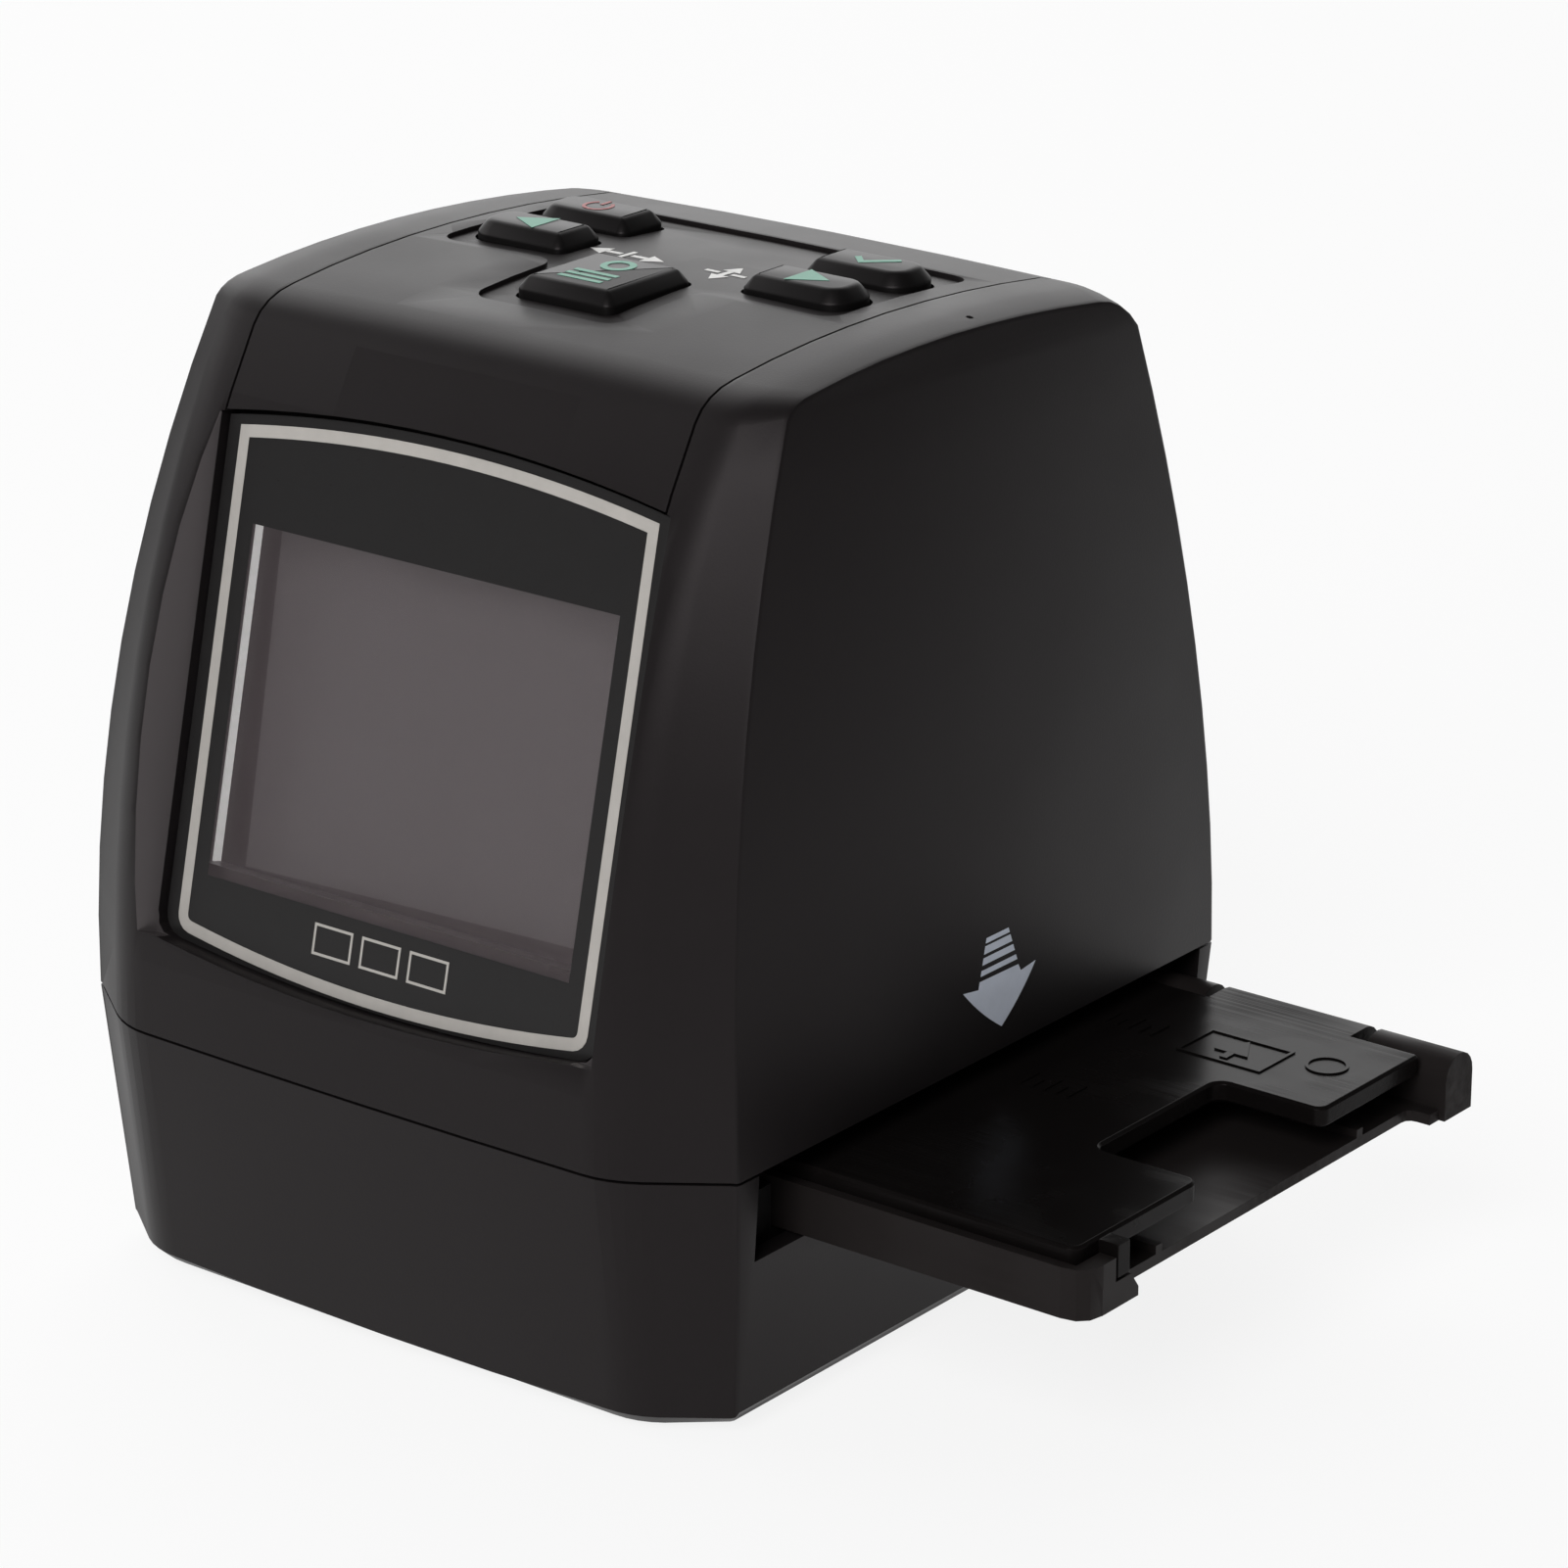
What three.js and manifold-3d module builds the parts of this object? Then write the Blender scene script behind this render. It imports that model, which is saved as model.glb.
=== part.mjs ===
import * as THREE from 'three';
import { mergeVertices } from 'three/addons/utils/BufferGeometryUtils.js';
import Module from 'manifold-3d';

const wasm = await Module();
wasm.setup();

// Desktop film scanner with a tilted screen, five top keys and a film adapter in its right side.
// Millimetres, +Z up, screen towards -Y, adapter sticking out towards +X.

// Gaps and cutting
const clearance = 0.3;
const overrun = 12;

// Housing outline
const lensSideMargin = 13.75;
const slotEndMargin = 3.15;
const frontBulge = 7.2;
const backBulge = 3.4;
const footHeight = 1;
const sideHeight = 104.8;
const shellWall = 2.2;
const topCrown = 0.35;
const creaseInset = 10.75;
const creaseRound = 3;
const panelEdgeRound = 0.6;
const bottomRound = 1.2;
const lipHeight = 1.4;

// Curve steps of the housing
const frontSteps = 10;
const cornerSteps = 4;
const creaseSteps = 4;
const topSteps = 4;
const arcSteps = 12;
const cornerArcSteps = 3;
const roundSides = 20;
const smallSides = 8;
const smallArcSteps = 3;

// Screen lens and display
const lensTiltDegrees = 13.3;
const lensSetback = 9.35;
const recessWidth = 59;
const recessTopMargin = 12.23;
const recessBottomMargin = 10.44;
const recessTopArch = 2.45;
const recessBottomArch = 1.9;
const recessCornerRadius = 2.4;
const lensThickness = 1.5;
const seatWidth = 2;
const seatThickness = 1.5;
const recessWall = 1.6;
const lensBevel = 0.25;
const windowTopMargin = 10.8;
const windowBottomMargin = 7.8;
const displayMargin = 1;
const displayBezel = 2.4;
const displayThickness = 2.4;
const displayFrameWall = 1.8;
const displayGrip = 0.6;
const displayFramePlate = 2.1;
const displayEarRadius = 3;

// Top cover and its keys
const coverWidth = 57.8;
const coverBackDrop = 11.8;
const coverLedge = 1.8;
const keyWidth = 12.8;
const keyDepth = 7;
const keyEndRadius = 2.8;
const keyRise = 1.35;
const keySlope = 1.15;
const keySlopeHeight = 1.4;
const keyTravel = 0.8;
const keyFlange = 1;
const keyFlangeHeight = 1;
const keySeatDrop = 1.2;
const keySideX = 18.2;
const keyFrontRowY = 2.3;
const keyBackRowY = 12.7;
const scanKeyWidth = 12.6;
const scanKeyDepth = 13.4;
const scanKeyY = -8.4;
const keyCorner = 1.2;
const keyFieldDepth = 0.5;
const keyFieldFrontMargin = 3.1;
const keyFieldBackMargin = 3.5;
const keyFieldSideMargin = 1.4;
const keyFieldStemMargin = 3.35;
const keyFieldCorner = 2.4;
const pinholeX = 35.1;
const pinholeY = 6.6;
const pinholeRadius = 0.4;
const pinholeDepth = 1.4;

// Key board under the cover
const keyBoardThickness = 1.2;
const switchSize = 6;
const switchHeight = 3.1;
const switchButtonRadius = 1.7;
const switchButtonHeight = 0.4;
const keyPressMargin = 0.15;
const keyPostRadius = 2.4;
const keyPostSpan = 14.5;
const keyPostFrontY = -10.5;
const keyPostBackY = 9;

// Adapter slot and the guides inside the base
const slotFreeStrip = 7.2;
const slotOffset = 0.45;
const slotFloor = 19.2;
const slotRoom = 9.6;
const guideWall = 1.5;
const snapInset = 15.25;
const snapWidth = 8;
const snapRise = 5;
const snapNose = 1.2;
const snapReach = 0.9;
const snapKeeper = 1.5;
const deckPostRadius = 2.5;
const deckPostInset = 5;
const deckPostEndInset = 10.35;
const deckThickness = 1.8;
const deckMargin = 4.25;
const fenceWidth = 2.4;
const fenceHeight = 5;
const apertureLength = 40;
const apertureWidth = 28;

// Film adapter
const adapterLength = 115.2;
const adapterReach = 77.2;
const adapterWidth = 68.9;
const adapterFloorThickness = 1.2;
const adapterFloorSetback = 2.6;
const railWidth = 5.1;
const railHeight = 5.4;
const railShoulder = 1.2;
const railCorner = 3;
const farRailWidth = 4.8;
const farRailHeight = 1.4;
const plateThickness = 2.3;
const plateSeatDrop = 0.8;
const plateSetback = 2.3;
const plateCorner = 1.4;
const plateHingeCorner = 0.5;
const plateBevel = 0.3;
const notchLength = 12.8;
const notchWidth = 22;
const notchShift = 0.6;
const notchCorner = 1.5;
const filmWidth = 35.3;
const filmRibWidth = 1.1;
const filmRibHeight = 0.9;
const frameLength = 36.6;
const frameWidth = 24.6;
const hingeRadius = 2.6;
const hingePinRadius = 0.8;
const hingeOuterKnuckle = 10.2;
const hingeCoverKnuckle = 18;
const hingeGap = 1.3;
const hingePinReach = 9;
const hingePinGrip = 4;
const pressRibWidth = 1.5;
const latchTabWidth = 2;
const latchTabInset = 5;
const catchHeight = 2.8;
const catchRamp = 1.3;
const catchRampDrop = 1.8;
const catchLength = 3;
const knuckleReach = 0.8;
const flareReach = 2.7;
const flareSetback = 1.8;
const flareRound = 1.2;

// Light unit
const boxWall = 1.5;
const boxMargin = 2;
const boardThickness = 1.2;
const diffuserThickness = 1.6;
const ledSize = 5;
const ledHeight = 1;
const ledSpanX = 11;
const ledSpanY = 7;

// Optics above the film
const opticFlange = 2;
const towerWall = 1.6;
const towerHeight = 33;
const towerTopSize = 26;
const towerTopPlate = 2;
const towerFlangeWidth = 45;
const barrelRadius = 7;
const barrelBore = 5;
const barrelCollar = 2;
const barrelCollarReach = 2;
const barrelBelow = 9;
const barrelAbove = 4.2;
const barrelStep = 1;
const lensDiscThickness = 2.2;
const sensorSize = 6;
const sensorHeight = 1;
const sensorBoardWidth = 36;
const sensorBoardDepth = 22;
const towerPostRadius = 2.2;
const towerPostSpan = 14.5;
const towerPostHeight = 6.5;

// Main board and its ports
const mainBoardMargin = 14.25;
const mainBoardRise = 4.2;
const mainBoardTopMargin = 28.8;
const mainBoardSetback = 10.9;
const mainBoardThickness = 1.6;
const mainPostInset = 4.5;
const mainPostRadius = 2.6;
const portReach = 7.2;
const usbWidth = 7.7;
const usbHeight = 4;
const portInset = 10.5;
const jackRadius = 3;
const jackBore = 1.8;
const portRise = 7;
const cardWidth = 26;
const cardHeight = 3.4;
const cardSlotRise = 12;
const cardMouth = 2.2;
const portWall = 0.5;

// Fasteners and feet
const screwShank = 1;
const screwHead = 1.5;
const screwHeadHeight = 1.3;
const screwBite = 5;
const screwSeatDrop = 6;
const smallScrewShank = 0.8;
const smallScrewHeadHeight = 0.9;
const smallScrewBite = 2.6;
const baseScrewInset = 16.25;
const baseScrewFrontInset = 7.7;
const basePostRadius = 2.8;
const bossHeight = 9;
const bossRib = 1.5;
const footRadius = 4;
const footSink = 0.8;
const footSideInset = 11.25;
const footEndInset = 8;

// Outline shares of the housing, of half its depth and of the height above the seam
const sideFrontShares = [[-1, 0], [-1.027, 0.516], [-0.631, 0.963], [-0.602, 0.984], [-0.52, 0.9865]];
const sideBackShares = [[1, 0], [1, 0.437], [0.7855, 0.921], [0.73, 0.966], [0.6265, 0.972]];
const sideTopShares = [0, 1.017];
const midFrontShares = [[-1, 0], [-1.004, 0.542], [-0.606, 0.95], [-0.573, 0.983], [-0.4825, 0.9895]];
const midBackShares = [[1, 0], [1, 0.437], [0.77, 0.9237], [0.712, 0.971], [0.608, 0.9815]];
const midTopShares = [0, 1.029];
const sideBottomShare = 0.949;
const midBottomShare = 0.93;
const bottomWidthShare = 0.957;
const topWidthShare = 0.86;
const widthCurveShare = 1.68;
const halfRoundShare = 0.29;
const lipShare = 0.5;
const crownShare = 0.75;
const coverReachShare = 0.6;
const coverSplitShare = 0.2;
const glassCrownShare = 0.6;
const glassDipShare = 0.09;
const glassRimShare = 0.25;
const finestRound = 0.1;

// Places worked out from the sizes above
const bodyWidth = recessWidth + 2 * lensSideMargin;
const seamHeight = slotFloor + slotRoom;
const seamHalf = bodyWidth / 2;
const slotWidth = adapterWidth + 2 * clearance + slotFreeStrip;
const slotFront = slotWidth / 2 - slotOffset;
const slotBack = slotWidth / 2 + slotOffset;
const sideDepth = slotWidth + 2 * slotEndMargin;
const frontDepth = sideDepth / 2 + frontBulge;
const backDepth = sideDepth / 2 + backBulge;
const upperHeight = sideHeight - seamHeight;
const creaseX = seamHalf - creaseInset;
const coverBackHeight = sideHeight - coverBackDrop;
const lensTilt = THREE.MathUtils.degToRad(lensTiltDegrees);
const recessRise = upperHeight - recessTopMargin - recessBottomMargin;
const recessHeight = recessRise / Math.cos(lensTilt);
const lensCentreHeight = seamHeight + recessBottomMargin + recessRise / 2;
const windowHeight = recessHeight - windowTopMargin - windowBottomMargin;
const windowDrop = (windowTopMargin - windowBottomMargin) / 2;
const displayHeight = windowHeight + 2 * displayBezel;
const displayWidth = recessWidth - 2 * displayMargin;
const displayEarSpan = recessWidth / 2 + screwHead + 4 * clearance;
const baseBottom = footHeight;
const baseFloor = baseBottom + shellWall;
const adapterBottom = slotFloor + clearance;
const adapterFront = -(adapterWidth - (slotBack - clearance));
const adapterBack = slotBack - clearance;
const adapterInner = adapterReach - adapterLength;
const adapterFloorTop = adapterBottom + adapterFloorThickness;
const railTop = adapterBottom + railHeight;
const plateBottom = railTop - plateSeatDrop;
const plateTop = plateBottom + plateThickness;
const plateEnd = adapterReach - plateSetback;
const filmY = (adapterFront + adapterBack) / 2;
const hingeY = adapterBack - hingeRadius;
const hingeZ = plateTop - hingeRadius;
const deckTop = slotFloor;
const deckBottom = deckTop - deckThickness;
const guideTop = seamHeight - clearance;
const deckLength = bodyWidth - 2 * deckMargin;
const deckPostX = deckLength / 2 - deckPostInset;
const deckPostY = slotWidth / 2 - deckPostEndInset;
const snapX = seamHalf - snapInset;
const baseScrewX = seamHalf - baseScrewInset;
const footSpanX = seamHalf - footSideInset;
const footSpanY = sideDepth / 2 - footEndInset;
const mainBoardWidth = bodyWidth - 2 * mainBoardMargin;
const mainBoardY = backDepth - mainBoardSetback;
const mainBoardBottom = seamHeight + mainBoardRise;
const mainBoardTop = sideHeight - mainBoardTopMargin;
const mainPostSpan = mainBoardWidth / 2 - mainPostInset;
const usbX = portInset - mainPostSpan;
const jackX = mainPostSpan - portInset;
const portHeight = mainBoardBottom + portRise;
const cardSlotHeight = portHeight + cardSlotRise;

// Looks
const plasticBlack = { color: 0x232122, roughness: 0.55, metalness: 0 };
const plasticDark = { color: 0x2b292a, roughness: 0.5, metalness: 0 };
const rubberBlack = { color: 0x161616, roughness: 0.9, metalness: 0 };
const glossBlack = { color: 0x0b0b0c, roughness: 0.08, metalness: 0 };
const boardGreen = { color: 0x1e5a38, roughness: 0.5, metalness: 0 };
const steel = { color: 0xb4b6b8, roughness: 0.35, metalness: 1 };
const screenGrey = { color: 0x5a5457, roughness: 0.3, metalness: 0 };
const opalWhite = { color: 0xf0efe8, roughness: 0.6, metalness: 0 };
const opticGlass = { color: 0x9fb4c4, roughness: 0.05, metalness: 0 };
const switchGrey = { color: 0x55565a, roughness: 0.5, metalness: 0 };

const scanner = new THREE.Group();

// Solids and cuts
function solid(geometry) {
  const bare = geometry.index ? geometry : geometry.clone();
  bare.deleteAttribute('normal');
  bare.deleteAttribute('uv');
  const merged = mergeVertices(bare, 1e-4);
  const mesh = new wasm.Mesh({
    numProp: 3,
    vertProperties: new Float32Array(merged.attributes.position.array),
    triVerts: new Uint32Array(merged.index.array),
  });
  return new wasm.Manifold(mesh);
}

function geometryOf(body) {
  const mesh = body.getMesh();
  const geometry = new THREE.BufferGeometry();
  geometry.setAttribute('position', new THREE.BufferAttribute(new Float32Array(mesh.vertProperties), 3));
  geometry.setIndex(new THREE.BufferAttribute(new Uint32Array(mesh.triVerts), 1));
  geometry.computeVertexNormals();
  return geometry;
}

function join(first, ...others) {
  return others.reduce((whole, piece) => whole.add(piece), first);
}

function cut(first, ...others) {
  return others.reduce((whole, piece) => whole.subtract(piece), first);
}

function addPart(name, body, look) {
  const geometry = body.isBufferGeometry ? body : geometryOf(body);
  const mesh = new THREE.Mesh(geometry, new THREE.MeshStandardMaterial(look));
  mesh.name = name;
  scanner.add(mesh);
  return mesh;
}

function block(x0, x1, y0, y1, z0, z1) {
  const geometry = new THREE.BoxGeometry(x1 - x0, y1 - y0, z1 - z0);
  return solid(geometry.translate((x0 + x1) / 2, (y0 + y1) / 2, (z0 + z1) / 2));
}

function centred(x, y, width, depth, z0, z1) {
  return block(x - width / 2, x + width / 2, y - depth / 2, y + depth / 2, z0, z1);
}

function post(x, y, radius, z0, z1, sides = roundSides) {
  const geometry = new THREE.CylinderGeometry(radius, radius, z1 - z0, sides);
  return solid(geometry.rotateX(Math.PI / 2).translate(x, y, (z0 + z1) / 2));
}

function extruded(shape, z0, z1, bevel = 0, bevelHeight = bevel) {
  const geometry = new THREE.ExtrudeGeometry(shape, {
    depth: z1 - z0 - 2 * bevelHeight,
    bevelEnabled: bevel > 0,
    bevelThickness: bevelHeight,
    bevelSize: bevel,
    bevelOffset: -bevel,
    bevelSegments: 1,
    curveSegments: cornerArcSteps,
  });
  return geometry.translate(0, 0, z0 + bevelHeight);
}

function roundedRectangle(x0, x1, y0, y1, leftRadius, rightRadius = leftRadius) {
  const shape = new THREE.Shape();
  shape.moveTo(x0 + leftRadius, y0);
  shape.lineTo(x1 - rightRadius, y0);
  shape.absarc(x1 - rightRadius, y0 + rightRadius, rightRadius, -Math.PI / 2, 0);
  shape.lineTo(x1, y1 - rightRadius);
  shape.absarc(x1 - rightRadius, y1 - rightRadius, rightRadius, 0, Math.PI / 2);
  shape.lineTo(x0 + leftRadius, y1);
  shape.absarc(x0 + leftRadius, y1 - leftRadius, leftRadius, Math.PI / 2, Math.PI);
  shape.lineTo(x0, y0 + leftRadius);
  shape.absarc(x0 + leftRadius, y0 + leftRadius, leftRadius, Math.PI, 1.5 * Math.PI);
  return shape;
}

// Housing form, a loft between the arched side panels and the fuller middle profile
function sampled(a, b, c, steps) {
  return new THREE.QuadraticBezierCurve(a, b, c).getPoints(steps).slice(1);
}

function profileHalf(shares, topShares, depth, topDepth, bottomShare, fineness) {
  const [seam, bulge, shoulder, corner, top] = shares.map(
    ([y, z]) => new THREE.Vector2(y * depth, seamHeight + z * upperHeight),
  );
  const crest = new THREE.Vector2(topShares[0] * topDepth, seamHeight + topShares[1] * upperHeight);
  const middle = new THREE.Vector2(0, baseBottom);
  const bottom = new THREE.Vector2(seam.x * bottomShare, baseBottom);
  const rise = sampled(seam, bulge, shoulder, frontSteps / fineness);
  const turn = sampled(shoulder, corner, top, cornerSteps / fineness);
  return { chain: [middle, bottom, seam, ...rise, ...turn], top, crest };
}

function closedProfile(front, back, fineness) {
  const steps = topSteps / fineness;
  const crest = new THREE.QuadraticBezierCurve(front.top, front.crest, back.top).getPoints(2 * steps);
  const middle = crest[steps];
  return {
    front: [...front.chain, ...crest.slice(1, steps), middle],
    back: [...back.chain, ...crest.slice(steps + 1, -1).reverse(), middle],
  };
}

function profiles(fineness) {
  const sideHalf = sideDepth / 2;
  const side = closedProfile(
    profileHalf(sideFrontShares, sideTopShares, sideHalf, sideHalf, sideBottomShare, fineness),
    profileHalf(sideBackShares, sideTopShares, sideHalf, sideHalf, sideBottomShare, fineness),
    fineness,
  );
  const middle = closedProfile(
    profileHalf(midFrontShares, midTopShares, frontDepth, backDepth, midBottomShare, fineness),
    profileHalf(midBackShares, midTopShares, backDepth, backDepth, midBottomShare, fineness),
    fineness,
  );
  return { side, middle };
}

function insetLoop(points, distance) {
  return points.map((point, i) => {
    const before = points[(i + points.length - 1) % points.length];
    const after = points[(i + 1) % points.length];
    const first = point.clone().sub(before).normalize();
    const second = after.clone().sub(point).normalize();
    const inward = new THREE.Vector2(first.y + second.y, -first.x - second.x).normalize();
    const spread = Math.sqrt((1 + first.dot(second)) / 2);
    return point.clone().addScaledVector(inward, distance / spread);
  });
}

function insetProfile(profile, distance) {
  const last = profile.front.length - 1;
  const loop = [...profile.front, ...profile.back.slice(1, -1).reverse()];
  const moved = insetLoop(loop, distance);
  return {
    front: moved.slice(0, last + 1),
    back: [moved[0], ...moved.slice(last + 1).reverse(), moved[last]],
  };
}

function chamferBottom(chain, size) {
  const [middle, corner, seam] = chain;
  const inward = middle.clone().sub(corner).setLength(size).add(corner);
  const upward = seam.clone().sub(corner).setLength(size).add(corner);
  return [middle, inward, upward, ...chain.slice(2)];
}

function halfWidthAt(height) {
  if (height < seamHeight) {
    const drop = (seamHeight - height) / (seamHeight - baseBottom);
    return seamHalf * (1 - (1 - bottomWidthShare) * drop);
  }
  const rise = (height - seamHeight) / upperHeight;
  return seamHalf * (1 - (1 - topWidthShare) * rise ** widthCurveShare);
}

function creaseStations(panelX, steps) {
  const reach = panelX - creaseX;
  const blend = creaseRound * reach / creaseInset;
  const near = new THREE.Vector2(creaseX - creaseRound, 1);
  const bend = new THREE.Vector2(creaseX, 1);
  const far = new THREE.Vector2(creaseX + blend, 1 - blend / reach);
  return new THREE.QuadraticBezierCurve(near, bend, far).getPoints(steps);
}

function formRows(inset, round, edge, fineness) {
  const { side, middle } = profiles(fineness);
  const forms = [
    insetProfile(side, inset),
    insetProfile(side, inset + edge * halfRoundShare),
    insetProfile(side, inset + edge),
    insetProfile(middle, inset),
    insetProfile(middle, inset - topCrown),
  ];
  const [front, back] = ['front', 'back'].map((half) => {
    const chains = forms.map((form) => chamferBottom(form[half], round));
    return chains[0].map((_, i) => ({ floor: i < 2, points: chains.map((chain) => chain[i]) }));
  });
  return [...front, ...back.slice(1, -1).reverse()];
}

function housingGeometry(inset, fineness) {
  const round = Math.max(bottomRound - inset, finestRound);
  const edge = Math.max(panelEdgeRound - inset, finestRound);
  const rows = formRows(inset, round, edge, fineness);
  const lines = rows.map(({ floor, points }) => {
    const [outer, eased, cap, full, crowned] = points;
    const lift = floor ? round : 0;
    const panelX = halfWidthAt(outer.y + lift) - inset - lift;
    const bulge = floor ? full : crowned;
    const half = [
      [(creaseX - creaseRound) / 2, full.clone().lerp(bulge, crownShare)],
      ...creaseStations(panelX, creaseSteps / fineness).map((at) => [at.x, outer.clone().lerp(full, at.y)]),
      [panelX - edge, outer],
      [panelX - edge * halfRoundShare, eased],
      [panelX, cap],
    ];
    const mirrored = half.slice().reverse().map(([x, point]) => [-x, point]);
    return [...mirrored, [0, bulge], ...half];
  });
  return closedLoft(lines);
}

function housingForm(inset) {
  return solid(housingGeometry(inset, inset > 0 ? 2 : 1));
}

function closedLoft(lines) {
  const rowCount = lines.length;
  const columnCount = lines[0].length;
  const indices = [];
  const at = (row, column) => (row % rowCount) * columnCount + column;
  for (let row = 0; row < rowCount; row += 1) {
    for (let column = 0; column < columnCount - 1; column += 1) {
      indices.push(at(row, column), at(row, column + 1), at(row + 1, column + 1));
      indices.push(at(row, column), at(row + 1, column + 1), at(row + 1, column));
    }
  }
  for (const column of [0, columnCount - 1]) {
    for (let row = 0; row < rowCount / 2; row += 1) {
      const quad = [row, row + 1, rowCount - row - 1, rowCount - row].map((r) => at(r, column));
      const [a, b, c, d] = column === 0 ? quad : quad.reverse();
      if (a !== d) indices.push(a, b, d);
      if (b !== c) indices.push(b, c, d);
    }
  }
  const places = lines.flat().flatMap(([x, point]) => [x, point.x, point.y]);
  const geometry = new THREE.BufferGeometry();
  geometry.setAttribute('position', new THREE.Float32BufferAttribute(places, 3));
  geometry.setIndex(indices);
  return geometry;
}

const outerForm = housingForm(0);
const innerForm = housingForm(shellWall);
const coreForm = housingForm(shellWall / 2);
const shell = cut(outerForm, innerForm);

function above(z) {
  return centred(0, 0, bodyWidth * 2, frontDepth * 3, z, sideHeight + overrun);
}

function below(z) {
  return centred(0, 0, bodyWidth * 2, frontDepth * 3, -overrun, z);
}

// Height of the crowned top along the middle of the housing
function topHeightAt(y) {
  const chain = profiles(1).middle;
  const crest = [...chain.front.slice(-topSteps - 1), ...chain.back.slice(-topSteps - 1, -1).reverse()];
  const next = crest.findIndex((point) => point.x > y);
  const [a, b] = [crest[next - 1], crest[next]];
  return a.y + (b.y - a.y) * (y - a.x) / (b.x - a.x) + topCrown;
}

// Screen recess, drawn on the lens plane and laid back with it
const lensFrame = new THREE.Matrix4()
  .makeBasis(
    new THREE.Vector3(1, 0, 0),
    new THREE.Vector3(0, Math.sin(lensTilt), Math.cos(lensTilt)),
    new THREE.Vector3(0, -Math.cos(lensTilt), Math.sin(lensTilt)),
  )
  .setPosition(0, lensSetback - frontDepth, lensCentreHeight);

function onLensPlane(geometry) {
  return solid(geometry.applyMatrix4(lensFrame));
}

function lensBlock(x, rise, width, height, back, front) {
  const geometry = new THREE.BoxGeometry(width, height, front - back);
  return onLensPlane(geometry.translate(x, rise, (back + front) / 2));
}

function lensPost(x, rise, radius, back, front) {
  const geometry = new THREE.CylinderGeometry(radius, radius, front - back, smallSides);
  return onLensPlane(geometry.rotateX(Math.PI / 2).translate(x, rise, (back + front) / 2));
}

function archHeight(x) {
  return recessHeight / 2 + recessTopArch * (1 - (2 * x / recessWidth) ** 2);
}

function recessOutline(grow) {
  const half = recessWidth / 2 + grow;
  const side = recessHeight / 2 + grow;
  const radius = recessCornerRadius + grow;
  const point = (x, y) => new THREE.Vector2(x, y);
  const left = point(-half + radius, -side);
  const right = point(half - radius, -side);
  const points = [
    point(-half, side),
    point(-half, -side + radius),
    ...sampled(point(-half, -side + radius), point(-half, -side), left, smallArcSteps),
    ...sampled(left, point(0, -side - 2 * recessBottomArch), right, arcSteps),
    ...sampled(right, point(half, -side), point(half, -side + radius), smallArcSteps),
    point(half, side),
    ...sampled(point(half, side), point(0, side + 2 * recessTopArch), point(-half, side), arcSteps)
      .slice(0, -1),
  ];
  return new THREE.Shape(points);
}

const seatFront = -(lensThickness + clearance);
const seatBack = seatFront - seatThickness;
const frameFront = seatBack - clearance;
const displayFront = frameFront - displayFramePlate - clearance;
const displayBack = displayFront - displayThickness;
const displayRise = -windowDrop;

function displayBoss(side) {
  return lensPost(side * displayEarSpan, displayRise, displayEarRadius, seatBack, overrun);
}

function screenTub() {
  const walls = onLensPlane(extruded(recessOutline(recessWall), seatBack, overrun));
  return join(walls, displayBoss(-1), displayBoss(1)).intersect(coreForm);
}

function screenCuts() {
  const recess = onLensPlane(extruded(recessOutline(0), seatFront, overrun));
  const opening = onLensPlane(extruded(recessOutline(-seatWidth), -overrun, overrun));
  const bores = [-1, 1].map((side) => lensPost(
    side * displayEarSpan, displayRise, smallScrewShank + clearance,
    seatBack - overrun, seatBack + smallScrewBite + clearance,
  ));
  return [recess, opening, ...bores];
}

// Region of the top cover, from the arched edge over the lens across the top to the back
function coverRegion(grow) {
  const half = coverWidth / 2 + grow;
  const ceiling = recessHeight + overrun;
  const edge = Array.from({ length: arcSteps + 1 }, (_, step) => {
    const x = half * (2 * step / arcSteps - 1);
    return new THREE.Vector2(x, archHeight(x) - grow);
  });
  const corners = [new THREE.Vector2(half, ceiling), new THREE.Vector2(-half, ceiling)];
  const outline = new THREE.Shape([...edge, ...corners]);
  const front = onLensPlane(extruded(outline, -frontDepth * coverReachShare, overrun));
  const low = coverBackHeight - grow;
  const back = block(
    -half, half, -frontDepth * coverSplitShare, backDepth + overrun, low, sideHeight + overrun,
  );
  return join(front, back);
}

function coverLedgeBand() {
  const ring = cut(coverRegion(shellWall), coverRegion(-shellWall));
  return cut(coreForm, housingForm(shellWall + clearance + coverLedge)).intersect(ring);
}

function coverOpening() {
  return cut(coverRegion(clearance / 2), housingForm(shellWall + clearance));
}

// Keys: outline, place and height
const flangeTop = sideHeight - shellWall - keySeatDrop;
const flangeBottom = flangeTop - keyFlangeHeight;

const keys = [
  { name: 'power', x: -keySideX, y: keyBackRowY },
  { name: 'left', x: -keySideX, y: keyFrontRowY },
  { name: 'scan', x: 0, y: scanKeyY },
  { name: 'right', x: keySideX, y: keyFrontRowY },
  { name: 'ok', x: keySideX, y: keyBackRowY },
];

function keyOutline(key, grow) {
  const halfWidth = (key.x === 0 ? scanKeyWidth : keyWidth) / 2 + grow;
  const halfDepth = (key.x === 0 ? scanKeyDepth : keyDepth) / 2 + grow;
  const [left, right] = [key.x < 0, key.x > 0].map((outer) => (outer ? keyEndRadius : keyCorner) + grow);
  return roundedRectangle(
    key.x - halfWidth, key.x + halfWidth, key.y - halfDepth, key.y + halfDepth, left, right,
  );
}

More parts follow.
